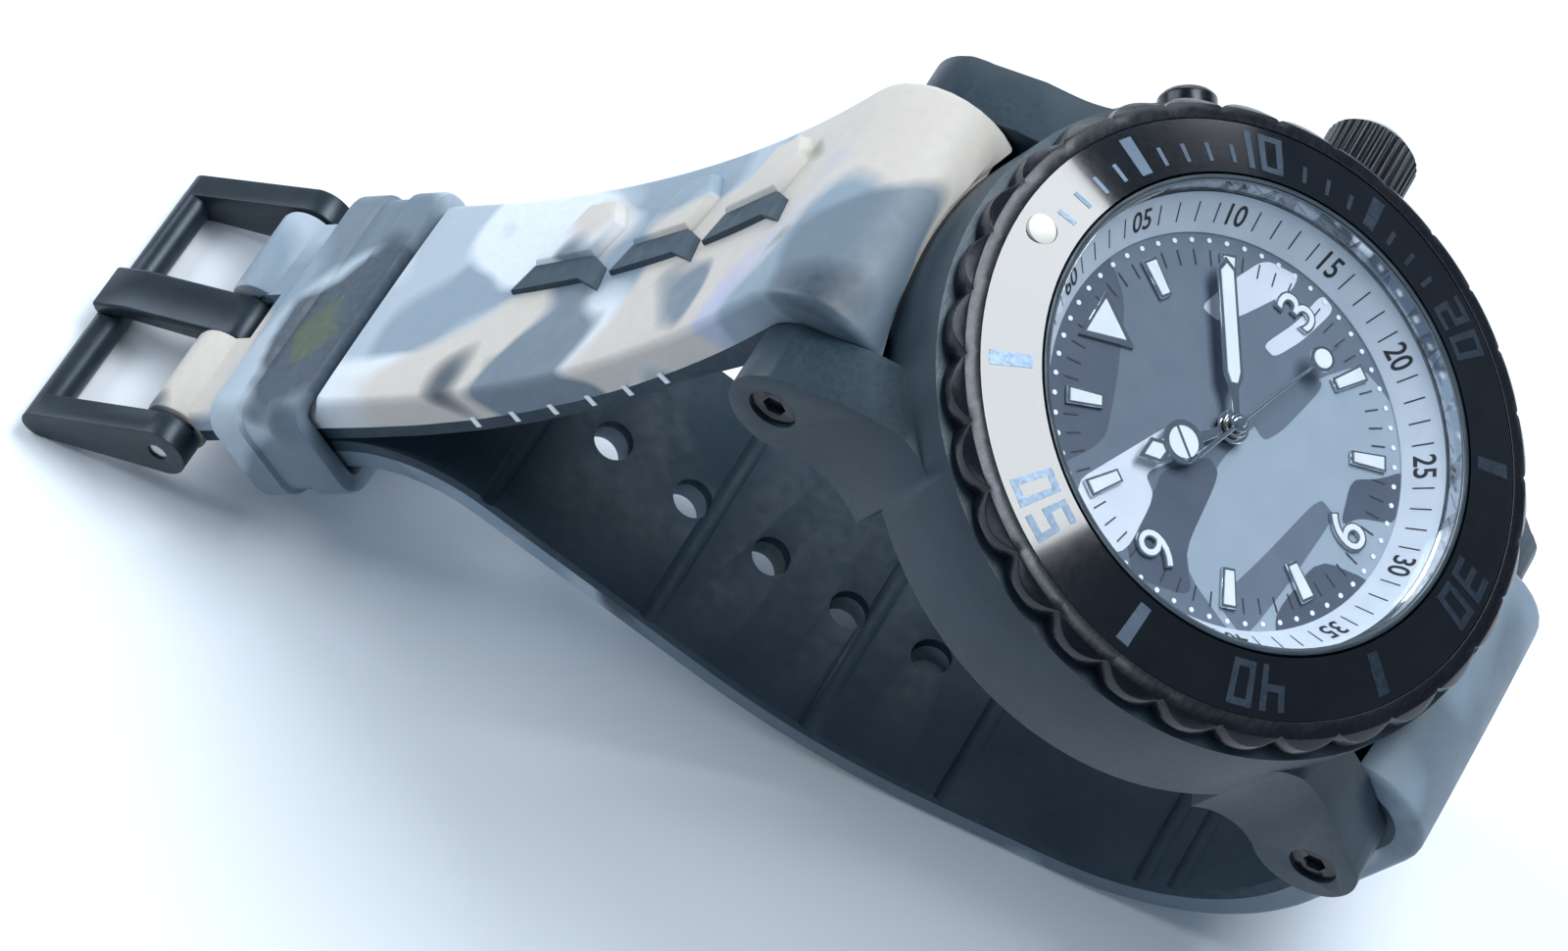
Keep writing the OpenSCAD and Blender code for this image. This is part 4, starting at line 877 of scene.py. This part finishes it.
for k, (tone, outline) in enumerate(PATCHES):
    outline = rounded_corners(outline, 2, 0.16)
    inside = []
    for x, y in outline:
        r = math.hypot(x, y)
        inside.append((x * min(1, 15.6 / r), y * min(1, 15.6 / r)) if r > 1e-6 else (x, y))
    z = 0.006 + 0.003 * k
    piece("dial_patch_%02d" % (k + 1), [(x, y, z) for x, y in inside], [list(range(len(inside)))],
          "watch", "dial_print", M[tone], 20)

z_print = 0.045
dots, ticks = [], []
for k in range(60):
    dots.append(turned(prism(circle(0, 14.05, 0.19, 12), z_print, z_print + 0.02), 6 * k))
    if k % 5:
        ticks.append(turned(prism([(-0.055, 12.2), (0.055, 12.2), (0.055, 13.35), (-0.055, 13.35)],
                                  z_print, z_print + 0.015), 6 * k))
piece("minute_dots", *join(dots), "watch", "lume_marker", M["white_ink"], 20)
piece("minute_ticks", *join(ticks), "watch", "dial_print", M["ink"], 20)

# Chapter ring: a cone from (14.6, 0.15) to (16.8, 2.5)
CONE = (14.6, 0.15, 16.8, 2.5)


def on_cone(cone, u, v, lift, mid_r):
    """Point on a cone: u along the circle at mid_r, v up its slope from mid_r."""
    r0, z0, r1, z1 = cone
    length = math.hypot(r1 - r0, z1 - z0)
    cr, cz = (r1 - r0) / length, (z1 - z0) / length
    r = mid_r + v * cr - lift * cz
    z = z0 + (mid_r - r0) / (r1 - r0) * (z1 - z0) + v * cz + lift * cr
    a = u / mid_r
    return r * math.sin(a), r * math.cos(a), z


def cone_marks(cone, mid_r, rects, clock, lift=0.02):
    """Thin marks on a cone: rects are (u0, v0, u1, v1)."""
    parts = []
    for u0, v0, u1, v1 in rects:
        corners = [(u0, v0), (u1, v0), (u1, v1), (u0, v1)]
        verts = [on_cone(cone, u, v, lift - 0.04, mid_r) for u, v in corners]
        verts += [on_cone(cone, u, v, lift, mid_r) for u, v in corners]
        faces = [[3, 2, 1, 0], [4, 5, 6, 7], [0, 1, 5, 4], [1, 2, 6, 5], [2, 3, 7, 6], [3, 0, 4, 7]]
        parts.append(turned((verts, faces), clock))
    return parts


def letters(text, size, extrude=0.0, offset=0.0):
    """Flat or thick glyph mesh of plain numbers, centred, in millimetres."""
    curve = bpy.data.curves.new("glyph", "FONT")
    curve.body = text
    curve.size = size
    curve.align_x = "CENTER"
    curve.extrude = extrude
    curve.offset = offset
    curve.resolution_u = 4
    obj = bpy.data.objects.new("glyph", curve)
    bpy.context.scene.collection.objects.link(obj)
    bpy.context.view_layer.update()
    mesh = bpy.data.meshes.new_from_object(obj.evaluated_get(bpy.context.evaluated_depsgraph_get()))
    verts = [tuple(v.co) for v in mesh.vertices]
    faces = [list(p.vertices) for p in mesh.polygons]
    bpy.data.objects.remove(obj)
    xs, ys = [v[0] for v in verts], [v[1] for v in verts]
    cx, cy = (min(xs) + max(xs)) / 2, (min(ys) + max(ys)) / 2
    return [(x - cx, y - cy, z) for x, y, z in verts], faces


marks = []
for k in range(60):
    if k % 5 == 0:
        continue
    marks += cone_marks(CONE, 15.75, [(-0.055, -0.85, 0.055, 0.75)], 6 * k)
for k in range(12):
    verts, faces = letters("%02d" % (5 * k if k else 60), 2.35, 0, 0.035)
    marks.append(turned(([on_cone(CONE, x * 0.8, y, 0.02, 15.75) for x, y, _ in verts], faces), 30 * k))
piece("chapter_numbers", *join(marks), "watch", "dial_print", M["ink"], 20)


# Applied markers: a bright rim with a raised pale fill
def marker(outline, fill, clock):
    return turned(prism(outline, 0.02, 0.34), clock), turned(prism(fill, 0.3, 0.40), clock)


rims, fills = [], []
for hour in (1, 2, 4, 5, 7, 8, 10, 11):
    a, b = marker([(-0.52, 10.2), (0.52, 10.2), (0.66, 13.2), (-0.66, 13.2)],
                  [(-0.34, 10.45), (0.34, 10.45), (0.46, 12.95), (-0.46, 12.95)], 30 * hour)
    rims.append(a)
    fills.append(b)
# A plain triangle at 12
a, b = marker([(0, 8.9), (2.1, 12.9), (-2.1, 12.9)], [(0, 9.8), (1.55, 12.6), (-1.55, 12.6)], 0)
rims.append(a)
fills.append(b)
rim_piece = piece("hour_marker_rims", *join(rims), "watch", "lume_marker", M["chrome"], 20)
bevel(rim_piece, 0.05, 1, 40)
piece("hour_marker_fills", *join(fills), "watch", "lume_marker", M["lume"], 20)
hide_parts("applied_indices")

number_rims, number_fills = [], []
for text, x, y in (("3", 11.6, 0.1), ("6", 0, -11.3), ("9", -11.5, 0.1)):
    for bucket, size, ext, off, z in ((number_rims, 4.6, 0.14, 0.13, 0.16),
                                      (number_fills, 4.6, 0.05, -0.02, 0.30)):
        verts, faces = letters(text, size, ext, off)
        bucket.append(([(px + x, py + y, pz + z) for px, py, pz in verts], faces))
number_piece = piece("number_rims", *join(number_rims), "watch", "lume_marker", M["chrome"], 30)
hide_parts("applied_numerals")
piece("number_fills", *join(number_fills), "watch", "lume_marker", M["lume"], 30)


# ---- hands ---------------------------------------------------------------

HOUR, MINUTE, SECOND = 304.65, 55.8, 108.0


def hand(name, body, clock, rims, fills, z0, z1, node):
    rim_shape = turned(join([prism(o3, z0, z1) for o3 in rims]), clock)
    base = piece(name, *rim_shape, body, "hand_white", M["chrome"], 30)
    bevel(base, 0.04, 1, 40)
    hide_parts(node)
    if fills:
        piece(name + "_fill", *turned(join([prism(o3, z1 - 0.04, z1 + 0.05) for o3 in fills]), clock), body,
              "hand_white", M["lume"], 30)


def ring_shape(x, y, r_out, r_in, z0, z1, n=36):
    out, inn = circle(x, y, r_out, n), circle(x, y, r_in, n)
    verts = [(*p, z) for z in (z0, z1) for p in out + inn]
    faces = []
    for i in range(n):
        j = (i + 1) % n
        faces += [[i, j, 2 * n + j, 2 * n + i], [n + i, 3 * n + i, 3 * n + j, n + j],
                  [i, n + i, n + j, j], [2 * n + i, 2 * n + j, 3 * n + j, 3 * n + i]]
    return verts, faces


hand("hour_hand_rim", "hour_body", HOUR,
     [circle(0, 0, 1.25, 36), [(-0.34, 0.9), (0.34, 0.9), (0.42, 3.15), (-0.42, 3.15)],
      [(-0.5, 6.1), (0.5, 6.1), (1.0, 7.0), (0, 8.6), (-1.0, 7.0)]],
     [[(-0.26, 6.35), (0.26, 6.35), (0.66, 7.02), (0, 8.05), (-0.66, 7.02)], circle(0, 4.6, 1.22, 30)],
     0.75, 0.95, "hour_hand")
piece("hour_hand_ring", *turned(join([ring_shape(0, 4.6, 1.62, 1.2, 0.75, 1.02),
                                      prism([(-1.25, 4.5), (1.25, 4.5), (1.25, 4.7), (-1.25, 4.7)], 0.97, 1.03)]),
                                HOUR), "hour_body", "hand_white", M["chrome"], 30)
hand("minute_hand_rim", "minute_body", MINUTE,
     [circle(0, 0, 0.95, 36), [(-0.28, 0.7), (0.28, 0.7), (0.34, 2.6), (0.78, 3.6), (0.78, 11.6), (0, 12.5),
                               (-0.78, 11.6), (-0.78, 3.6), (-0.34, 2.6)]],
     [[(-0.24, 3.1), (0.24, 3.1), (0.5, 3.9), (0.5, 11.4), (0, 11.95), (-0.5, 11.4), (-0.5, 3.9)]],
     1.2, 1.4, "minute_hand")
hand("seconds_hand_rim", "seconds_body", SECOND,
     [circle(0, 0, 0.7, 30), [(-0.2, -4.6), (0.2, -4.6), (0.12, 0), (0.07, 12.0), (-0.07, 12.0), (-0.12, 0)],
      circle(0, 9.3, 1.0, 30)],
     [circle(0, 9.3, 0.72, 30)], 1.66, 1.8, "seconds_hand")
CAP = ((0.42, 1.8), (0.42, 1.98), (0.3, 2.06))
piece("hands_cap", *loft([[(*p, z) for p in circle(0, 0, r, 24)] for r, z in CAP]),
      "seconds_body", "hand_white", M["chrome"], 30)


# ---- bezel insert print --------------------------------------------------

INSERT = (17.65, 4.33, 21.9, 3.34)
SEGMENTS = {"T": (-0.95, 1.1, 0.95, 1.6), "M": (-0.95, -0.25, 0.95, 0.25), "B": (-0.95, -1.6, 0.95, -1.1),
            "UL": (-0.95, 0, -0.45, 1.6), "UR": (0.45, 0, 0.95, 1.6), "LL": (-0.95, -1.6, -0.45, 0),
            "LR": (0.45, -1.6, 0.95, 0)}
DIGITS = {"0": "T UL UR LL LR B", "1": "UR LR", "2": "T UR M LL B", "3": "T UR M LR B", "4": "UL UR M LR",
          "5": "T UL M LR B"}
marks = []
for k in range(1, 6):
    text = str(10 * k)
    for place, digit in enumerate(text):
        shift = -1.25 + 2.5 * place
        rects = [(a + shift, b, c + shift, d) for a, b, c, d in (SEGMENTS[s] for s in DIGITS[digit].split())]
        marks += cone_marks(INSERT, 19.8, rects, 60 * k, 0.03)
    marks += cone_marks(INSERT, 19.8, [(-0.5, -1.55, 0.5, 1.55)], 60 * k - 30, 0.03)
marks += cone_marks(INSERT, 19.8, [(-0.5, -1.55, 0.5, 1.55)], 330, 0.03)
for k in range(1, 20):
    if k % 5:
        marks += cone_marks(INSERT, 19.2, [(-0.17, -0.75, 0.17, 0.75)], 6 * k, 0.03)
piece("insert_print", *join(marks), "bezel", "insert_gloss", M["steel_ink"], 20)


# ---- floor ---------------------------------------------------------------

floor_mesh = bpy.data.meshes.new("floor")
floor_mesh.from_pydata([(-3, -3, 0), (3, -3, 0), (3, 3, 0), (-3, 3, 0)], [], [[0, 1, 2, 3]])
floor = bpy.data.objects.new("floor", floor_mesh)
bpy.context.scene.collection.objects.link(floor)
paper = Mat("floor_paper", (0.80, 0.84, 0.90), 0.7)
paper.worn((0.80, 0.84, 0.90), (0.83, 0.87, 0.92), 6)
floor_mesh.materials.append(paper.m)
